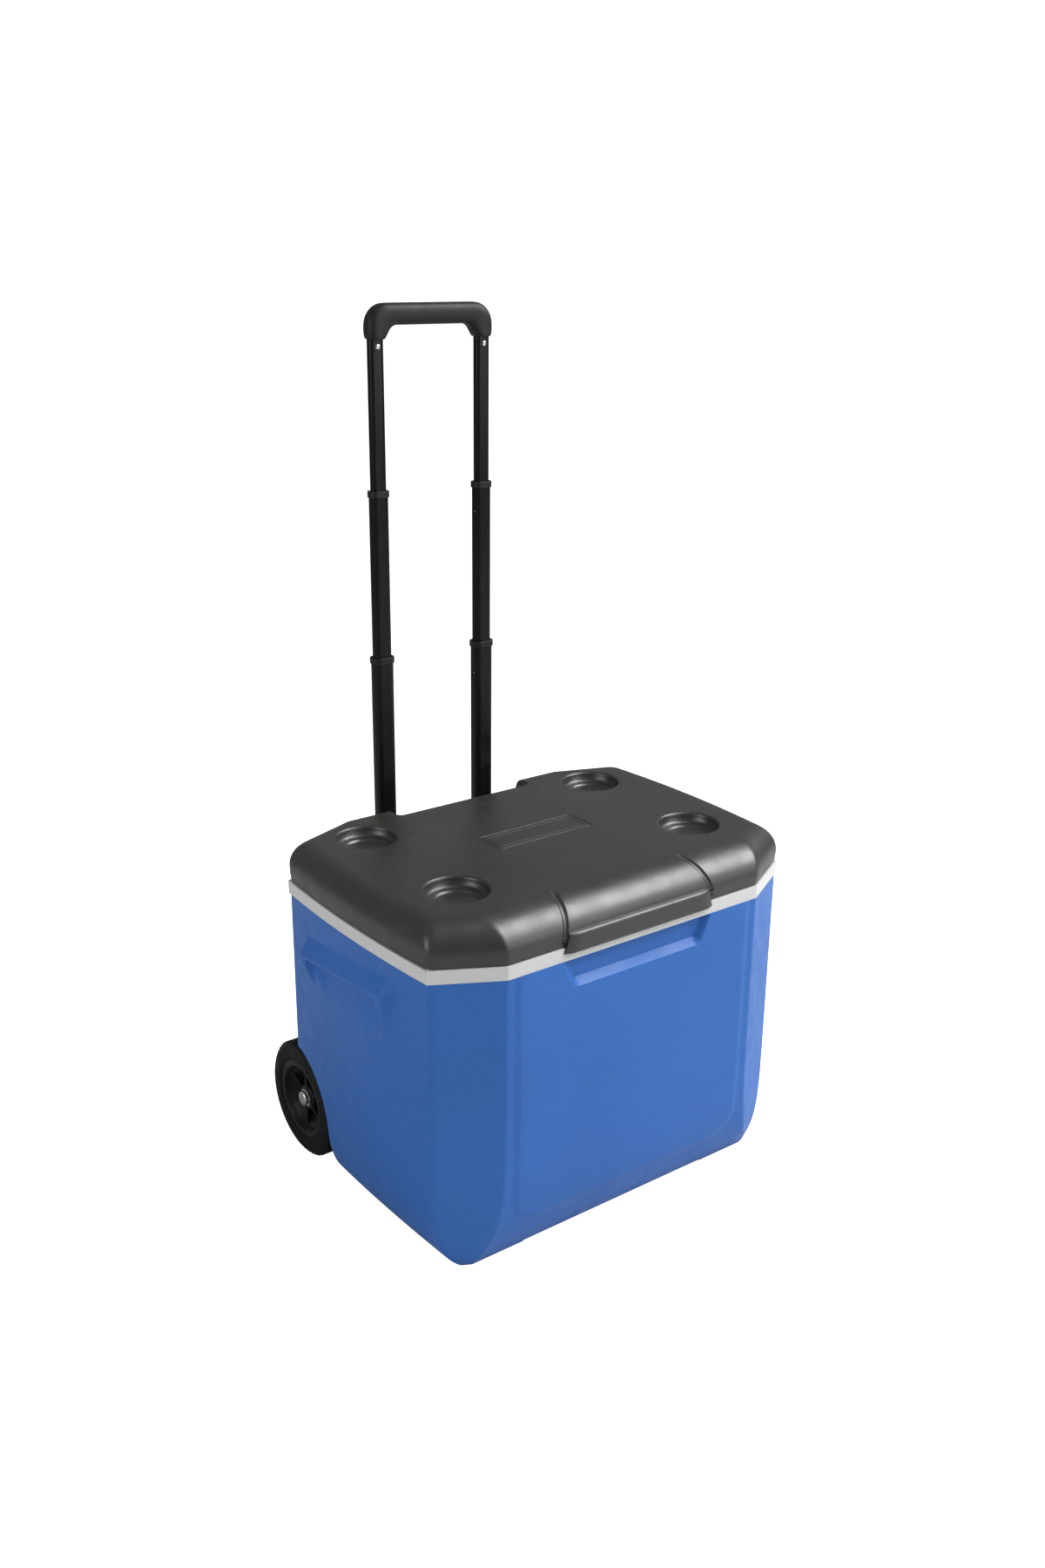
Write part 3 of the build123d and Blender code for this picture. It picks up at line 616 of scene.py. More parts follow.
def cup_tool(shape, centre, grow):
    """Cuts one cup holder, with a soft mouth and a raised ring round its floor."""
    radius = shape.cup_radius + grow

    def outline(more):
        return round_outline(centre, radius, radius, radius, more, steps=14)

    floor = LID_TOP - shape.cup_depth - grow
    if grow:
        return sunk_tool("cup_tool", outline, floor, LID_TOP, 0.0)
    rings = [[(x, y, floor) for x, y in outline(-0.0125)]]
    for rise, inward in ((0.0022, -0.0105), (0.0026, -0.0085), (0.0026, -0.0050), (0.0032, -0.0034)):
        rings.append([(x, y, floor + rise) for x, y in outline(inward)])
    rings.append([(x, y, floor + 0.0060) for x, y in outline(-0.0012)])
    mouth = 0.0042
    for rise, outward in quarter_round(7):
        height = LID_TOP - mouth + mouth * rise
        rings.append([(x, y, height) for x, y in outline(mouth * outward)])
    rings.append([(x, y, LID_TOP + 0.02) for x, y in outline(mouth)])
    return loft("cup_tool", rings)


def cutout_tool(grow, flare=0.0):
    """Cuts the gap in the lid's rear edge, at the folded handle grip."""
    half_y = 0.032 + grow

    def outline(more):
        return round_outline((0, REAR), 0.108 + grow, half_y, 0.008, more)

    return sunk_tool("cutout_tool", outline, LID_BOTTOM - 0.04, LID_TOP, flare)


def groove_tool(shape, side):
    """Cuts one of the two channels that run down the front roll beside the pull lip."""
    width, start = lid_rolls(shape)[FRONT_SIDE]
    path = []
    radii = []
    for step in range(-3, 17):
        turn = math.pi / 2 * (1 - step / 14)
        turn = min(max(turn, -0.2), math.pi / 2)
        x = side * (0.098 + 0.018 * (1 - max(turn, 0) / (math.pi / 2)))
        y = FRONT + width * (1 - math.cos(turn))
        z = start + (LID_TOP - start) * math.sin(turn)
        normal = Vector((0, -math.cos(turn), math.sin(turn)))
        lift = 0.0034
        if step < 2:
            lift += 0.0016 * (2 - step)
            y += 0.003 * max(0, -step)
        if turn <= 0:
            z = start - 0.0035 * (step - 14)
            y = FRONT
            normal = Vector((0, -1, 0))
        path.append(Vector((x, y, z)) + normal * lift)
        radii.append(0.0058)
    return tube_along("groove_tool", path, radii)


def plate_frame_tool(half_x, half_y, radius, width, depth):
    """A shallow rounded channel round a plate's edge."""
    rings = []
    for step in range(9):
        angle = 2 * math.pi * step / 8
        out = width / 2 * math.cos(angle)
        z = LID_TOP + 0.0004 - depth * math.sin(angle)
        outline = round_outline((0.004, MIDDLE_Y + 0.013), half_x, half_y, radius, out)
        if step < 8:
            rings.append([(x, y, z) for x, y in outline])
    return loft("plate_frame_tool", rings, joined=True)


def hinge_notch_tool(side, grow):
    """Cuts the notch in the lid's lower rear edge that one hinge stands in."""
    leaf_low, leaf_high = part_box("hinge_bracket_right")
    hinge_z = (leaf_high.z * 2 - 0.013) / 2
    low = (min(side * (leaf_low.x - grow), side * (leaf_high.x + grow)), leaf_high.y - 0.0155 - grow, 0.38)
    high = (max(side * (leaf_low.x - grow), side * (leaf_high.x + grow)), REAR + 0.02, hinge_z + 0.009 + grow)
    return block("hinge_notch", low, high)


class COOLER_OT_lid(bpy.types.Operator):
    """Makes the lid cover: rolled edges, cup holders, grooves, plate frame, pull lip and rear cutout"""

    bl_idname = "cooler.lid"
    bl_label = "Lid"

    def execute(self, context):
        shape = context.scene.cooler_shape
        plan = Plan(shape, 0.006, 0.010)
        lid = lid_block(plan, shape, 0.0, LID_BOTTOM)
        for side in (-1, 1):
            carve(lid, groove_tool(shape, side))
        for centre in cup_places():
            carve(lid, cup_tool(shape, centre, 0.0))
        carve(lid, cutout_tool(0.0, 0.003))
        carve(lid, plate_frame_tool(0.0740, 0.0235, 0.0045, 0.0034, 0.0013))
        carve(lid, plate_frame_tool(0.0665, 0.0160, 0.0030, 0.0024, 0.0010))
        carve(lid, self.inside(shape, 0.003))
        for side in (-1, 1):
            carve(lid, hinge_notch_tool(side, 0.0))
        lip = self.pull_lip(shape)
        carve(lid, lip, "UNION")
        tidy_mesh(lid)
        lid.name = "lid_shell"
        dress(lid, "lid_plastic", "lid", "lid_cover")
        foam = self.inside(shape, 0.0035)
        carve(foam, block("pan_space", (-0.4, -0.4, 0.3), (0.4, 0.4, PAN_HIGH.z)))
        for side in (-1, 1):
            carve(foam, hinge_notch_tool(side, 0.001))
        foam.name = "lid_filling"
        dress(foam, "insulation", "lid", "lid_foam")
        return {"FINISHED"}

    def inside(self, shape, wall):
        """The space inside the lid, one wall's thickness in from its outside."""
        hollow = lid_block(Plan(shape, 0.02, 0.02), shape, wall, PAN_HIGH.z - 0.02)
        for centre in cup_places():
            carve(hollow, cup_tool(shape, centre, wall - 0.0005))
        carve(hollow, cutout_tool(wall))
        return hollow

    def pull_lip(self, shape):
        """The lip between the grooves that hangs down over the rim, to pull the lid up by."""
        front, low = LID_LOW.y, LID_LOW.z
        profile = rounded_profile((
            (front + 0.0006, low, 0.0022), (FRONT - 0.0005, low, 0.0008), (FRONT - 0.0005, LID_BOTTOM, 0.0),
            (FRONT + 0.004, LID_BOTTOM, 0.0), (FRONT + 0.004, LID_BOTTOM + 0.020, 0.0),
            (front + 0.0012, LID_BOTTOM + 0.0165, 0.0040),
        ))
        rings = []
        half_top, half_low = 0.1085, 0.1165
        for step in range(25):
            share = -1 + 2 * step / 24
            end = smooth_step(abs(share), 0.93, 1.0)
            ring = []
            for y, z in profile:
                rise = straight_step(z, low, LID_BOTTOM + 0.020)
                half = half_low + (half_top - half_low) * rise
                ring.append((share * half, y + (0.0035 * end if y < FRONT else 0.0), z))
            rings.append(ring)
        return loft("pull_lip", rings)


# ---------------------------------------------------------------- repeated pieces, by geometry nodes
class CopyTree:
    """A geometry-node tree that sets copies of one object on points, with its named inputs."""

    def __init__(self, name, places):
        self.tree = bpy.data.node_groups.new(name, "GeometryNodeTree")
        self.sockets = {}
        kinds = (("Count", "Int"), *places, ("Copy", "Object"), ("Finish", "Material"))
        for label, kind in kinds:
            socket = self.tree.interface.new_socket(label, in_out="INPUT", socket_type=f"NodeSocket{kind}")
            self.sockets[label] = socket.identifier
        self.tree.interface.new_socket("Geometry", in_out="OUTPUT", socket_type="NodeSocketGeometry")
        self.inputs = self.node("NodeGroupInput").outputs
        copy = self.node("GeometryNodeObjectInfo")
        self.spread = self.node("GeometryNodeInstanceOnPoints")
        self.link(self.inputs["Copy"], copy.inputs["Object"])
        self.link(copy.outputs["Geometry"], self.spread.inputs["Instance"])

    def node(self, kind):
        return self.tree.nodes.new(kind)

    def link(self, start, end):
        self.tree.links.new(start, end)

    def close(self, copies):
        """Makes the copies real and gives them their finish."""
        real = self.node("GeometryNodeRealizeInstances")
        dressed = self.node("GeometryNodeSetMaterial")
        output = self.node("NodeGroupOutput")
        self.link(copies, real.inputs["Geometry"])
        self.link(real.outputs["Geometry"], dressed.inputs["Geometry"])
        self.link(self.inputs["Finish"], dressed.inputs["Material"])
        self.link(dressed.outputs["Geometry"], output.inputs["Geometry"])
        return self


def ring_tree():
    """Copies of one object spread evenly round the axle's line."""
    tree = CopyTree("copies_round_axle", (("Radius", "Float"), ("Middle", "Vector")))
    circle = tree.node("GeometryNodeMeshCircle")
    stand = tree.node("GeometryNodeTransform")
    place = tree.node("GeometryNodeInputPosition")
    aim = tree.node("FunctionNodeAlignRotationToVector")
    move = tree.node("GeometryNodeTransform")
    stand.inputs["Rotation"].default_value = (0, math.pi / 2, 0)
    aim.axis = "Z"
    aim.pivot_axis = "X"
    tree.link(tree.inputs["Count"], circle.inputs["Vertices"])
    tree.link(tree.inputs["Radius"], circle.inputs["Radius"])
    tree.link(circle.outputs["Mesh"], stand.inputs["Geometry"])
    tree.link(stand.outputs["Geometry"], tree.spread.inputs["Points"])
    tree.link(place.outputs["Position"], aim.inputs["Vector"])
    tree.link(aim.outputs["Rotation"], tree.spread.inputs["Rotation"])
    tree.link(tree.spread.outputs["Instances"], move.inputs["Geometry"])
    tree.link(tree.inputs["Middle"], move.inputs["Translation"])
    return tree.close(move.outputs["Geometry"])


def row_tree():
    """Copies of one object in a straight row."""
    tree = CopyTree("copies_in_row", (("Start", "Vector"), ("Step", "Vector")))
    line = tree.node("GeometryNodeMeshLine")
    tree.link(tree.inputs["Count"], line.inputs["Count"])
    tree.link(tree.inputs["Start"], line.inputs["Start Location"])
    tree.link(tree.inputs["Step"], line.inputs["Offset"])
    tree.link(line.outputs["Mesh"], tree.spread.inputs["Points"])
    return tree.close(tree.spread.outputs["Instances"])


def grow_copies(name, tree, values):
    """Runs a tree with the given inputs and returns its result as a plain piece."""
    carrier = new_piece(name, [(0, 0, 0)], [])
    modifier = carrier.modifiers.new("copies", "NODES")
    modifier.node_group = tree.tree
    for label, value in values.items():
        modifier[tree.sockets[label]] = value
    apply_modifiers(carrier)
    return carrier


def turned_head(name, profile, sides=20):
    """A small turned part standing on the XY plane, from (radius, height) points."""
    rings = []
    for radius, height in profile:
        ring = []
        for step in range(sides):
            angle = 2 * math.pi * step / sides
            ring.append((radius * math.cos(angle), radius * math.sin(angle), height))
        rings.append(ring)
    return loft(name, rings)


# ---------------------------------------------------------------- wheels
class COOLER_OT_wheels(bpy.types.Operator):
    """Makes both wheels: tyres with tread blocks, and dished hubs with spokes"""

    bl_idname = "cooler.wheels"
    bl_label = "Wheels"

    def execute(self, context):
        shape = context.scene.cooler_shape
        tree = ring_tree()
        for name, side in SIDES:
            self.tyre(shape, tree, name, side)
            self.hub(shape, tree, name, side)
        return {"FINISHED"}

    def tyre(self, shape, tree, name, side):
        inner, outer = TYRE_LOW.x, TYRE_HIGH.x
        base = WHEEL_RADIUS - 0.0009
        seat = 0.0540
        profile = rounded_profile((
            (inner, seat, 0.0), (inner, base, 0.0075), (inner + 0.0125, base, 0.0003),
            (inner + 0.0132, base - 0.0016, 0.0003), (inner + 0.0152, base - 0.0016, 0.0003),
            (inner + 0.0159, base, 0.0003), (outer - 0.0159, base, 0.0003),
            (outer - 0.0152, base - 0.0016, 0.0003), (outer - 0.0132, base - 0.0016, 0.0003),
            (outer - 0.0125, base, 0.0003), (outer, base, 0.0075), (outer, seat + 0.0045, 0.0012),
            (outer - 0.0012, seat + 0.0030, 0.0008), (outer - 0.0012, seat, 0.0),
        ), steps=4)
        tyre = turned_piece(f"tyre_body_{name}", profile, side, segments=120)
        width = 0.0085
        spot = rounded_profile(((-width / 2, -0.0026, 0.0006), (width / 2, -0.0026, 0.0006),
                                (width / 2, 0.0026, 0.0006), (-width / 2, 0.0026, 0.0006)), steps=2)
        lug = loft("tread_block", [[(x * 1.08, y * 1.1, -0.0006) for x, y in spot],
                                   [(x, y, 0.0006) for x, y in spot],
                                   [(x * 0.93, y * 0.86, 0.0009) for x, y in spot]])
        rows = []
        for shift in (-0.0113, 0.0, 0.0113):
            middle = (side * ((inner + outer) / 2) + side * shift, WHEEL_Y, WHEEL_Z)
            rows.append(grow_copies("tread_row", tree, {
                "Count": shape.tread_blocks, "Radius": base, "Middle": middle, "Copy": lug,
                "Finish": finish("tyre"),
            }))
        bpy.data.objects.remove(lug)
        tyre = join(f"tyre_{name}_tread", [tyre] + rows)
        dress(tyre, "tyre", f"wheel_{name}", f"tyre_{name}")

    def hub(self, shape, tree, name, side):
        inner, outer = TYRE_LOW.x + 0.001, TYRE_HIGH.x
        seat = 0.0540
        bore = 0.00605
        web_outer, web_inner = outer - 0.0160, outer - 0.0205
        boss_outer, boss_inner = WASHER_OUTER - 0.0017, WASHER_INNER + 0.0004
        profile = rounded_profile((
            (inner, seat, 0.0), (outer - 0.0014, seat, 0.0010), (outer - 0.0006, seat - 0.0030, 0.0010),
            (outer - 0.0006, seat - 0.0080, 0.0016), (outer - 0.0075, seat - 0.0120, 0.0030),
            (web_outer, 0.0300, 0.0060), (web_outer, 0.0190, 0.0020), (boss_outer, 0.0165, 0.0020),
            (boss_outer, bore, 0.0), (boss_inner, bore, 0.0), (boss_inner, 0.0180, 0.0010),
            (web_inner, 0.0190, 0.0020), (web_inner, seat - 0.0060, 0.0020), (inner, seat - 0.0040, 0.0010),
        ), steps=4)
        hub = turned_piece(f"hub_body_{name}", profile, side, segments=96)
        for step in range(shape.hub_spokes):
            angle = 2 * math.pi * (step + 0.5) / shape.hub_spokes
            carve(hub, self.pocket_tool(side, angle, web_outer - 0.0028, web_outer + 0.012))
        rib = block("hub_rib", (0.0, -0.0017, -0.0150), (0.0085, 0.0017, 0.0120))
        rib.data.transform(Matrix.Translation((0.0 if side < 0 else -0.0085, 0, 0)))
        ribs = grow_copies("hub_ribs", tree, {
            "Count": shape.hub_spokes, "Radius": 0.0325,
            "Middle": (side * (outer - 0.0085), WHEEL_Y, WHEEL_Z), "Copy": rib,
            "Finish": finish("wheel_plastic"),
        })
        bpy.data.objects.remove(rib)
        tidy_mesh(hub)
        hub = join(f"wheel_hub_{name}_dish", [hub, ribs])
        dress(hub, "wheel_plastic", f"wheel_{name}", f"wheel_hub_{name}")

    # a pocket's outline: distance from the axle, share of its half angle
    POCKET = ((0.0212, -0.55), (0.0200, 0.0), (0.0212, 0.55), (0.0238, 1.0), (0.0266, 0.92),
              (0.0282, 0.5), (0.0286, 0.0), (0.0282, -0.5), (0.0266, -0.92), (0.0238, -1.0))

    def pocket_tool(self, side, angle, low, high):
        """Cuts one shallow rounded pocket into the hub's web."""
        spread = math.radians(17)
        rings = []
        for x in (low, high):
            ring = []
            for radius, offset in self.POCKET:
                turn = angle + spread * offset
                ring.append((side * x, WHEEL_Y + radius * math.cos(turn), WHEEL_Z + radius * math.sin(turn)))
            rings.append(ring)
        return loft("pocket_tool", rings)


# ---------------------------------------------------------------- handle
class COOLER_OT_grip(bpy.types.Operator):
    """Makes the handle's moulded grip: a round bar with bent ends that take the two tubes"""

    bl_idname = "cooler.grip"
    bl_label = "Handle grip"

    def execute(self, context):
        half, top = GRIP_HIGH.x, GRIP_HIGH.z
        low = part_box("grip_rivets")[1].z + 0.0048
        bar = 0.027
        corner = 0.027
        inner_foot = 2 * TUBE_X - half + 0.0012
        pairs = [((half - 0.0042, low), (inner_foot + 0.0022, low)),
                 ((half - 0.0022, low + 0.0014), (inner_foot + 0.0006, low + 0.0014)),
                 ((half - 0.0004, low + 0.0060), (inner_foot - 0.0030, low + 0.0060)),
                 ((half, low + 0.0110), (inner_foot - 0.0062, low + 0.0110))]
        bend = 8
        for step in range(bend + 1):
            angle = math.pi / 2 * step / bend
            outer = (half - corner + corner * math.cos(angle), top - corner + corner * math.sin(angle))
            pull = smooth_step(step, 0, bend)
            inner = (inner_foot - 0.0075 - 0.0105 * pull, top - bar - 0.0045 * (1 - pull) ** 2)
            pairs.append((outer, inner))
        for x in (0.052, 0.040, 0.020):
            pairs.append(((x, top), (x, top - bar)))
        pairs += [((0.0, top), (0.0, top - bar))]
        pairs += [((-outer[0], outer[1]), (-inner[0], inner[1])) for outer, inner in reversed(pairs[:-1])]
        depth = (GRIP_HIGH.y - GRIP_LOW.y) / 2
        middle_y = (GRIP_HIGH.y + GRIP_LOW.y) / 2
        rings = []
        for outer, inner in pairs:
            outer, inner = Vector((outer[0], 0, outer[1])), Vector((inner[0], 0, inner[1]))
            centre = (outer + inner) / 2
            reach = (outer - inner) / 2
            ring = []
            for step in range(28):
                angle = 2 * math.pi * step / 28
                across, deep = math.cos(angle), math.sin(angle)
                share = (abs(across) ** 2.9 + abs(deep) ** 2.9) ** (-1 / 2.9)
                spot = centre + reach * across * share
                ring.append((spot.x, middle_y + depth * deep * share, spot.z))
            rings.append(ring)
        grip = loft("moulded_grip", rings)
        smooth = grip.modifiers.new("smooth", "SUBSURF")
        smooth.levels = smooth.render_levels = 1
        apply_modifiers(grip)
        dress(grip, "grip_plastic", "stage_3", "handle_grip")
        return {"FINISHED"}


class COOLER_OT_fasteners(bpy.types.Operator):
    """Makes the screws of the two handle brackets and the rivets under the grip"""

    bl_idname = "cooler.fasteners"
    bl_label = "Screws and rivets"

    def execute(self, context):
        tree = row_tree()
        head = turned_head("screw_head", (
            (0.0040, -0.0010), (0.0046, 0.0002), (0.0046, 0.0009),
            (0.0041, 0.0018), (0.0030, 0.0024), (0.0016, 0.0026),
        ))
        for turn in (0, 1):
            long, short = 0.0026, 0.00045
            half_x, half_y = (long, short) if turn else (short, long)
            carve(head, block("driver_slot", (-half_x, -half_y, 0.0010), (half_x, half_y, 0.004)))
        head.data.transform(Matrix.Rotation(math.radians(-90), 4, "X"))
        tidy_mesh(head)
        low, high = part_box("bracket_screws")
        rows = []
        for z in (low.z + 0.0046, high.z - 0.0046):
            start = (low.x + 0.0046, high.y - 0.0026, z)
            step = ((high.x - low.x - 0.0092) / 2, 0, 0)
            rows.append(grow_copies("screw_row", tree, {
                "Count": 3, "Start": start, "Step": step, "Copy": head, "Finish": finish("zinc_steel")}))
        bpy.data.objects.remove(head)
        screws = join("bracket_screw_heads", rows)
        dress(screws, "zinc_steel", "cooler", "bracket_screws")
        rivet = turned_head("rivet_head", (
            (0.0030, -0.0030), (0.0034, 0.0), (0.0033, 0.0006), (0.0026, 0.0012),
            (0.0017, 0.00145), (0.0014, 0.0008), (0.0008, 0.0006),
        ))
        rivet.data.transform(Matrix.Rotation(math.radians(90), 4, "X"))
        low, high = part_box("grip_rivets")
        start = (low.x + 0.0032, STAGE_LOW.y, (low.z + high.z) / 2)
        rivets = grow_copies("grip_rivet_heads", tree, {
            "Count": 2, "Start": start, "Step": (2 * TUBE_X, 0, 0), "Copy": rivet,
            "Finish": finish("zinc_steel")})
        bpy.data.objects.remove(rivet)
        dress(rivets, "zinc_steel", "stage_3", "grip_rivets")
        return {"FINISHED"}


# ---------------------------------------------------------------- finishes
def dress(piece, slot, body, node):
    """Gives a finished piece its slot's material and its body, and hides the node that it replaces."""
    tidy_mesh(piece)
    piece.data.materials.clear()
    piece.data.materials.append(finish(slot))
    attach(piece, body)
    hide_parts(node)


class Recipe:
    """A material under construction, with short calls for its nodes."""

    def __init__(self, name):
        self.material = bpy.data.materials.new(name)
        self.material.use_nodes = True
        self.nodes = self.material.node_tree.nodes
        self.links = self.material.node_tree.links
        self.shader = self.nodes["Principled BSDF"]
        self.place = self.nodes.new("ShaderNodeTexCoord").outputs["Object"]

    def stretched(self, scale):
        node = self.nodes.new("ShaderNodeMapping")
        node.inputs["Scale"].default_value = scale
        self.links.new(self.place, node.inputs["Vector"])
        return node.outputs["Vector"]

    def noise(self, scale, detail=3.0, roughness=0.5, vector=None):
        node = self.nodes.new("ShaderNodeTexNoise")
        node.inputs["Scale"].default_value = scale
        node.inputs["Detail"].default_value = detail
        node.inputs["Roughness"].default_value = roughness
        self.links.new(vector or self.place, node.inputs["Vector"])
        return node.outputs["Fac"]

    def spread(self, value, low, high, from_low=0.35, from_high=0.65):
        """Stretches a noise value to run from low to high."""
        node = self.nodes.new("ShaderNodeMapRange")
        ends = {"From Min": from_low, "From Max": from_high, "To Min": low, "To Max": high}
        for socket, number in ends.items():
            node.inputs[socket].default_value = number
        self.links.new(value, node.inputs["Value"])
        return node.outputs["Result"]

    def height(self):
        node = self.nodes.new("ShaderNodeSeparateXYZ")
        self.links.new(self.place, node.inputs["Vector"])
        return node.outputs["Z"]

    def multiply(self, first, second):
        node = self.nodes.new("ShaderNodeMath")
        node.operation = "MULTIPLY"
        self.links.new(first, node.inputs[0])
        self.links.new(second, node.inputs[1])
        return node.outputs["Value"]

    def blend(self, share, first, second):
        """Mixes two colours by a share; each is a colour or another node's output."""
        node = self.nodes.new("ShaderNodeMix")
        node.data_type = "RGBA"
        self.links.new(share, node.inputs["Factor"])
        for socket, colour in ((node.inputs[6], first), (node.inputs[7], second)):
            if isinstance(colour, tuple):
                socket.default_value = (*colour, 1.0)
            else:
                self.links.new(colour, socket)
        return node.outputs[2]

    def relief(self, steps):
        """Chains bumps from (value, depth in metres, strength)."""
        normal = None
        for value, depth, strength in steps:
            node = self.nodes.new("ShaderNodeBump")
            node.inputs["Distance"].default_value = depth
            node.inputs["Strength"].default_value = strength
            self.links.new(value, node.inputs["Height"])
            if normal:
                self.links.new(normal, node.inputs["Normal"])
            normal = node.outputs["Normal"]
        self.links.new(normal, self.shader.inputs["Normal"])

    def colour(self, output):
        self.links.new(output, self.shader.inputs["Base Color"])

    def roughness(self, output):
        self.links.new(output, self.shader.inputs["Roughness"])


def shade(colour, share):
    """A colour made darker or lighter by one share."""
    return tuple(min(1.0, part * share) for part in colour)


def moulded_plastic(name, colour, roughness, grain, grain_depth, specular, scuffs, tone):
    """Moulded polymer: fine grain, a slow change of tone, patchy gloss and, low down, pale scuffs."""
    recipe = Recipe(name)
    slow = recipe.noise(5.0, 2.0)
    base = recipe.blend(recipe.spread(slow, 0.0, 1.0), shade(colour, 1 - tone), shade(colour, 1 + tone))
    fleck = recipe.noise(260.0, 3.0, 0.7)
    base = recipe.blend(recipe.spread(fleck, 0.0, 0.35, 0.62, 0.80), base, shade(colour, 1.22))
    patch = recipe.noise(38.0, 4.0, 0.6)
    rough = recipe.spread(patch, roughness - 0.05, roughness + 0.05)
    if scuffs:
        strokes = recipe.noise(60.0, 6.0, 0.75, recipe.stretched((1.0, 1.0, 7.0)))
        low_down = recipe.spread(recipe.height(), 1.0, 0.0, 0.0, 0.10)
        wear = recipe.multiply(recipe.spread(strokes, 0.0, scuffs, 0.60, 0.72), low_down)
        pale = tuple(part * 0.6 + 0.28 for part in colour)
        base = recipe.blend(wear, base, pale)
    recipe.colour(base)
    recipe.roughness(rough)
    recipe.shader.inputs["Specular IOR Level"].default_value = specular
    pebbles = recipe.noise(grain, 2.0, 0.6)
    peel = recipe.noise(grain / 7, 1.0, 0.4)
    recipe.relief(((peel, 0.0004, 0.22), (pebbles, grain_depth, 0.55)))
    return recipe.material


def painted_tube(name, colour):
    """Gloss black paint on drawn tube, with faint lines along its length and rubbed places."""
    recipe = Recipe(name)
    rubs = recipe.noise(70.0, 5.0, 0.7, recipe.stretched((1.0, 1.0, 0.16)))
    recipe.colour(recipe.blend(recipe.spread(rubs, 0.0, 0.55, 0.58, 0.78), colour, shade(colour, 3.2)))
    recipe.roughness(recipe.spread(rubs, 0.20, 0.34))
    recipe.shader.inputs["Specular IOR Level"].default_value = 0.12
    recipe.shader.inputs["Coat Weight"].default_value = 0.06
    recipe.shader.inputs["Coat Roughness"].default_value = 0.15
    lines = recipe.noise(900.0, 2.0, 0.5, recipe.stretched((1.0, 1.0, 0.02)))
    peel = recipe.noise(340.0, 1.0)
    recipe.relief(((lines, 0.00005, 0.25), (peel, 0.00008, 0.25)))
    return recipe.material


def zinc_steel(name, colour):
    """Zinc-plated steel: brushed, with cloudy plating."""
    recipe = Recipe(name)
    cloud = recipe.noise(160.0, 4.0, 0.6)
    recipe.colour(recipe.blend(recipe.spread(cloud, 0.0, 1.0), shade(colour, 0.78), shade(colour, 1.1)))
    recipe.roughness(recipe.spread(cloud, 0.24, 0.42))
    recipe.shader.inputs["Metallic"].default_value = 1.0
    brushing = recipe.noise(2600.0, 2.0, 0.5, recipe.stretched((0.06, 1.0, 1.0)))
    recipe.relief(((brushing, 0.00003, 0.4),))
    return recipe.material


def tyre_rubber(name, colour):
    """Hard black tyre plastic: dusty in patches, finely pitted."""
    recipe = Recipe(name)
    dust = recipe.noise(45.0, 6.0, 0.7)
    recipe.colour(recipe.blend(recipe.spread(dust, 0.0, 0.5, 0.50, 0.75), colour, shade(colour, 2.6)))
    recipe.roughness(recipe.spread(dust, 0.42, 0.60))
    recipe.shader.inputs["Specular IOR Level"].default_value = 0.09
    pits = recipe.noise(1500.0, 2.0, 0.7)
    waves = recipe.noise(120.0, 2.0)
    recipe.relief(((waves, 0.0003, 0.2), (pits, 0.00012, 0.5)))
    return recipe.material


def foam_core(name, colour):
    """Rigid foam: pale yellow, full of small open cells."""
    recipe = Recipe(name)
    cells = recipe.nodes.new("ShaderNodeTexVoronoi")
    cells.inputs["Scale"].default_value = 620.0
    recipe.links.new(recipe.place, cells.inputs["Vector"])
    tone = recipe.noise(14.0, 4.0)
    base = recipe.blend(recipe.spread(tone, 0.0, 1.0), shade(colour, 0.86), shade(colour, 1.06))
    walls = recipe.spread(cells.outputs["Distance"], 0.0, 0.5, 0.1, 0.9)
    recipe.colour(recipe.blend(walls, base, shade(colour, 0.6)))
    recipe.roughness(recipe.spread(tone, 0.80, 0.95))
    recipe.relief(((cells.outputs["Distance"], 0.0008, 0.6),))
    return recipe.material


# moulded slots: colour setting, roughness, grain per metre, grain depth, specular level, scuffs and the
# change of tone over the piece
PLASTICS = {
    "shell_plastic": ("shell", 0.42, 1500.0, 0.00010, 0.22, 0.35, 0.035),
    "white_plastic": ("rim", 0.40, 1200.0, 0.00008, 0.45, 0.0, 0.02),
    "lid_plastic": ("lid", 0.37, 1900.0, 0.00014, 0.62, 0.0, 0.07),
    "black_plastic": ("black", 0.42, 1400.0, 0.00010, 0.25, 0.0, 0.08),
    "grip_plastic": ("grip", 0.46, 1100.0, 0.00014, 0.20, 0.0, 0.08),
    "wheel_plastic": ("wheel", 0.36, 1300.0, 0.00010, 0.14, 0.0, 0.10),
}
OTHERS = {
    "insulation": ("foam", foam_core),
    "zinc_steel": ("steel", zinc_steel),
    "tube_metal": ("tube", painted_tube),
    "tyre": ("tyre", tyre_rubber),
}
FINISHES = {}


def finish(slot):
    """The material of one of the record's slots, made when it is first asked for."""
    if slot in FINISHES:
        return FINISHES[slot]
    colours = bpy.context.scene.cooler_colours
    if slot in PLASTICS:
        setting, *numbers = PLASTICS[slot]
        FINISHES[slot] = moulded_plastic(slot, tuple(getattr(colours, setting)), *numbers)
    elif slot in OTHERS:
        setting, make = OTHERS[slot]
        FINISHES[slot] = make(slot, tuple(getattr(colours, setting)))
    else:
        raise RuntimeError(f"no finish is made for the slot {slot}")
    return FINISHES[slot]


class COOLER_OT_finishes(bpy.types.Operator):
    """Gives every piece carried over from the frame its own finish"""

    bl_idname = "cooler.finishes"
    bl_label = "Finishes"

    def execute(self, context):
        slots = {part["node"]: part["material_slot"] for part in frame["record"]["subparts"]}
        for name, node in frame["nodes"].items():
            node.data.materials.clear()
            node.data.materials.append(finish(slots[name]))
        return {"FINISHED"}


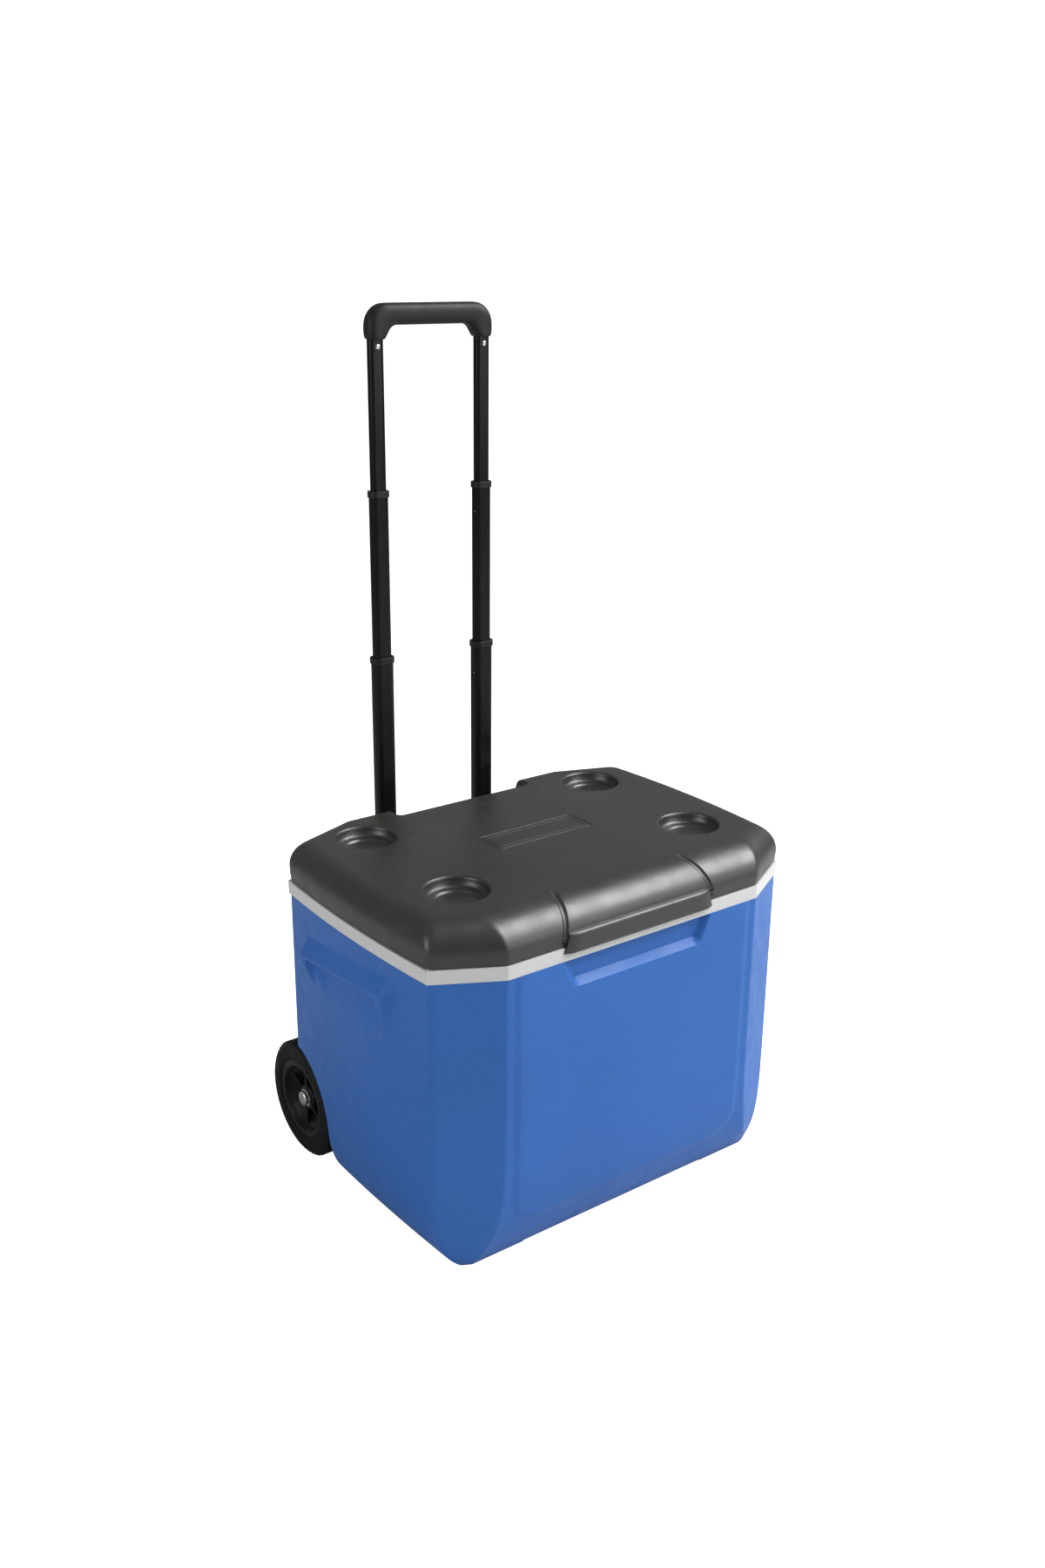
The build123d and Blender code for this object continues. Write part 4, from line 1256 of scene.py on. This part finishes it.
# ---------------------------------------------------------------- stage, light and camera
class COOLER_OT_stage(bpy.types.Operator):
    """Sets the pale floor, the soft studio light and the camera"""

    bl_idname = "cooler.stage"
    bl_label = "Stage"

    def execute(self, context):
        self.floor(context.scene.cooler_colours)
        self.world()
        self.lamp("roll", (2.0, -1.2, 2.9), 2.2, 190.0)
        self.lamp("front", (1.5, -3.0, 1.5), 2.0, 38.0)
        self.lamp("side", (-3.2, -0.2, 1.6), 1.8, 48.0)
        self.camera()
        context.scene.view_settings.view_transform = "Standard"
        return {"FINISHED"}

    def floor(self, colours):
        reach = 30.0
        floor = new_piece("studio_floor", [(-reach, -reach, 0), (reach, -reach, 0), (reach, reach, 0),
                                           (-reach, reach, 0)], [(0, 1, 2, 3)])
        recipe = Recipe("studio_floor")
        cloud = recipe.noise(0.8, 2.0)
        colour = tuple(colours.floor)
        recipe.colour(recipe.blend(cloud, colour, shade(colour, 1.01)))
        recipe.shader.inputs["Emission Color"].default_value = (1.0, 1.0, 1.0, 1.0)
        glow = self.seen_brightness(recipe.material.node_tree, 0.0, 1.0)
        recipe.links.new(glow, recipe.shader.inputs["Emission Strength"])
        recipe.shader.inputs["Roughness"].default_value = 0.9
        recipe.shader.inputs["Specular IOR Level"].default_value = 0.1
        floor.data.materials.append(recipe.material)

    def world(self):
        world = bpy.data.worlds.new("studio")
        bpy.context.scene.world = world
        world.use_nodes = True
        ground = world.node_tree.nodes["Background"]
        ground.inputs["Color"].default_value = (1.0, 1.0, 1.0, 1.0)
        glow = self.seen_brightness(world.node_tree, 0.30, 1.5)
        world.node_tree.links.new(glow, ground.inputs["Strength"])

    def seen_brightness(self, tree, for_light, for_camera):
        """A strength that is white to the camera and dimmer as a source of light."""
        rays = tree.nodes.new("ShaderNodeLightPath")
        strength = tree.nodes.new("ShaderNodeMapRange")
        strength.inputs["To Min"].default_value = for_light
        strength.inputs["To Max"].default_value = for_camera
        tree.links.new(rays.outputs["Is Camera Ray"], strength.inputs["Value"])
        return strength.outputs["Result"]

    def lamp(self, name, place, size, power):
        light = bpy.data.lights.new(name, "AREA")
        light.shape = "SQUARE"
        light.size = size
        light.energy = power
        lamp = bpy.data.objects.new(name, light)
        bpy.context.scene.collection.objects.link(lamp)
        lamp.location = place
        aim = Vector((0.0, 0.0, 0.3)) - Vector(place)
        lamp.rotation_euler = aim.to_track_quat("-Z", "Y").to_euler()

    def camera(self):
        lens = bpy.data.cameras.new("studio_camera")
        lens.lens = 34.48
        lens.sensor_width = 36.0
        camera = bpy.data.objects.new("studio_camera", lens)
        bpy.context.scene.collection.objects.link(camera)
        across = Vector((0.79914, -0.60109, 0.00871)).normalized()
        ahead = Vector((0.56892, 0.75153, -0.33397)).normalized()
        up = across.cross(ahead).normalized()
        across = ahead.cross(up)
        turn = Matrix((across, up, -ahead)).transposed().to_4x4()
        camera.matrix_world = Matrix.Translation((-1.1024, -1.4458, 1.1605)) @ turn
        bpy.context.scene.camera = camera


# ---------------------------------------------------------------- panel and registration
class COOLER_PT_panel(bpy.types.Panel):
    """Lists the operators and the settings"""

    bl_idname = "COOLER_PT_panel"
    bl_label = "Wheeled Cooler Box"
    bl_space_type = "VIEW_3D"
    bl_region_type = "UI"
    bl_category = "Cooler"

    def draw(self, context):
        for operator in MAKERS:
            self.layout.operator(operator.bl_idname)
        for group in (context.scene.cooler_shape, context.scene.cooler_colours):
            for name in group.bl_rna.properties.keys():
                if name not in ("rna_type", "name"):
                    self.layout.prop(group, name)


MAKERS = (COOLER_OT_stage, COOLER_OT_finishes, COOLER_OT_shell, COOLER_OT_lid, COOLER_OT_wheels,
          COOLER_OT_grip, COOLER_OT_fasteners)
CLASSES = (CoolerShape, CoolerColours) + MAKERS + (COOLER_PT_panel,)


def register():
    for item in CLASSES:
        bpy.utils.register_class(item)
    bpy.types.Scene.cooler_shape = bpy.props.PointerProperty(type=CoolerShape)
    bpy.types.Scene.cooler_colours = bpy.props.PointerProperty(type=CoolerColours)


def unregister():
    del bpy.types.Scene.cooler_colours
    del bpy.types.Scene.cooler_shape
    for item in reversed(CLASSES):
        bpy.utils.unregister_class(item)


def main():
    register()
    bpy.ops.cooler.stage()
    bpy.ops.cooler.finishes()
    bpy.ops.cooler.shell()
    bpy.ops.cooler.lid()
    bpy.ops.cooler.wheels()
    bpy.ops.cooler.grip()
    bpy.ops.cooler.fasteners()


if __name__ == "__main__":
    main()
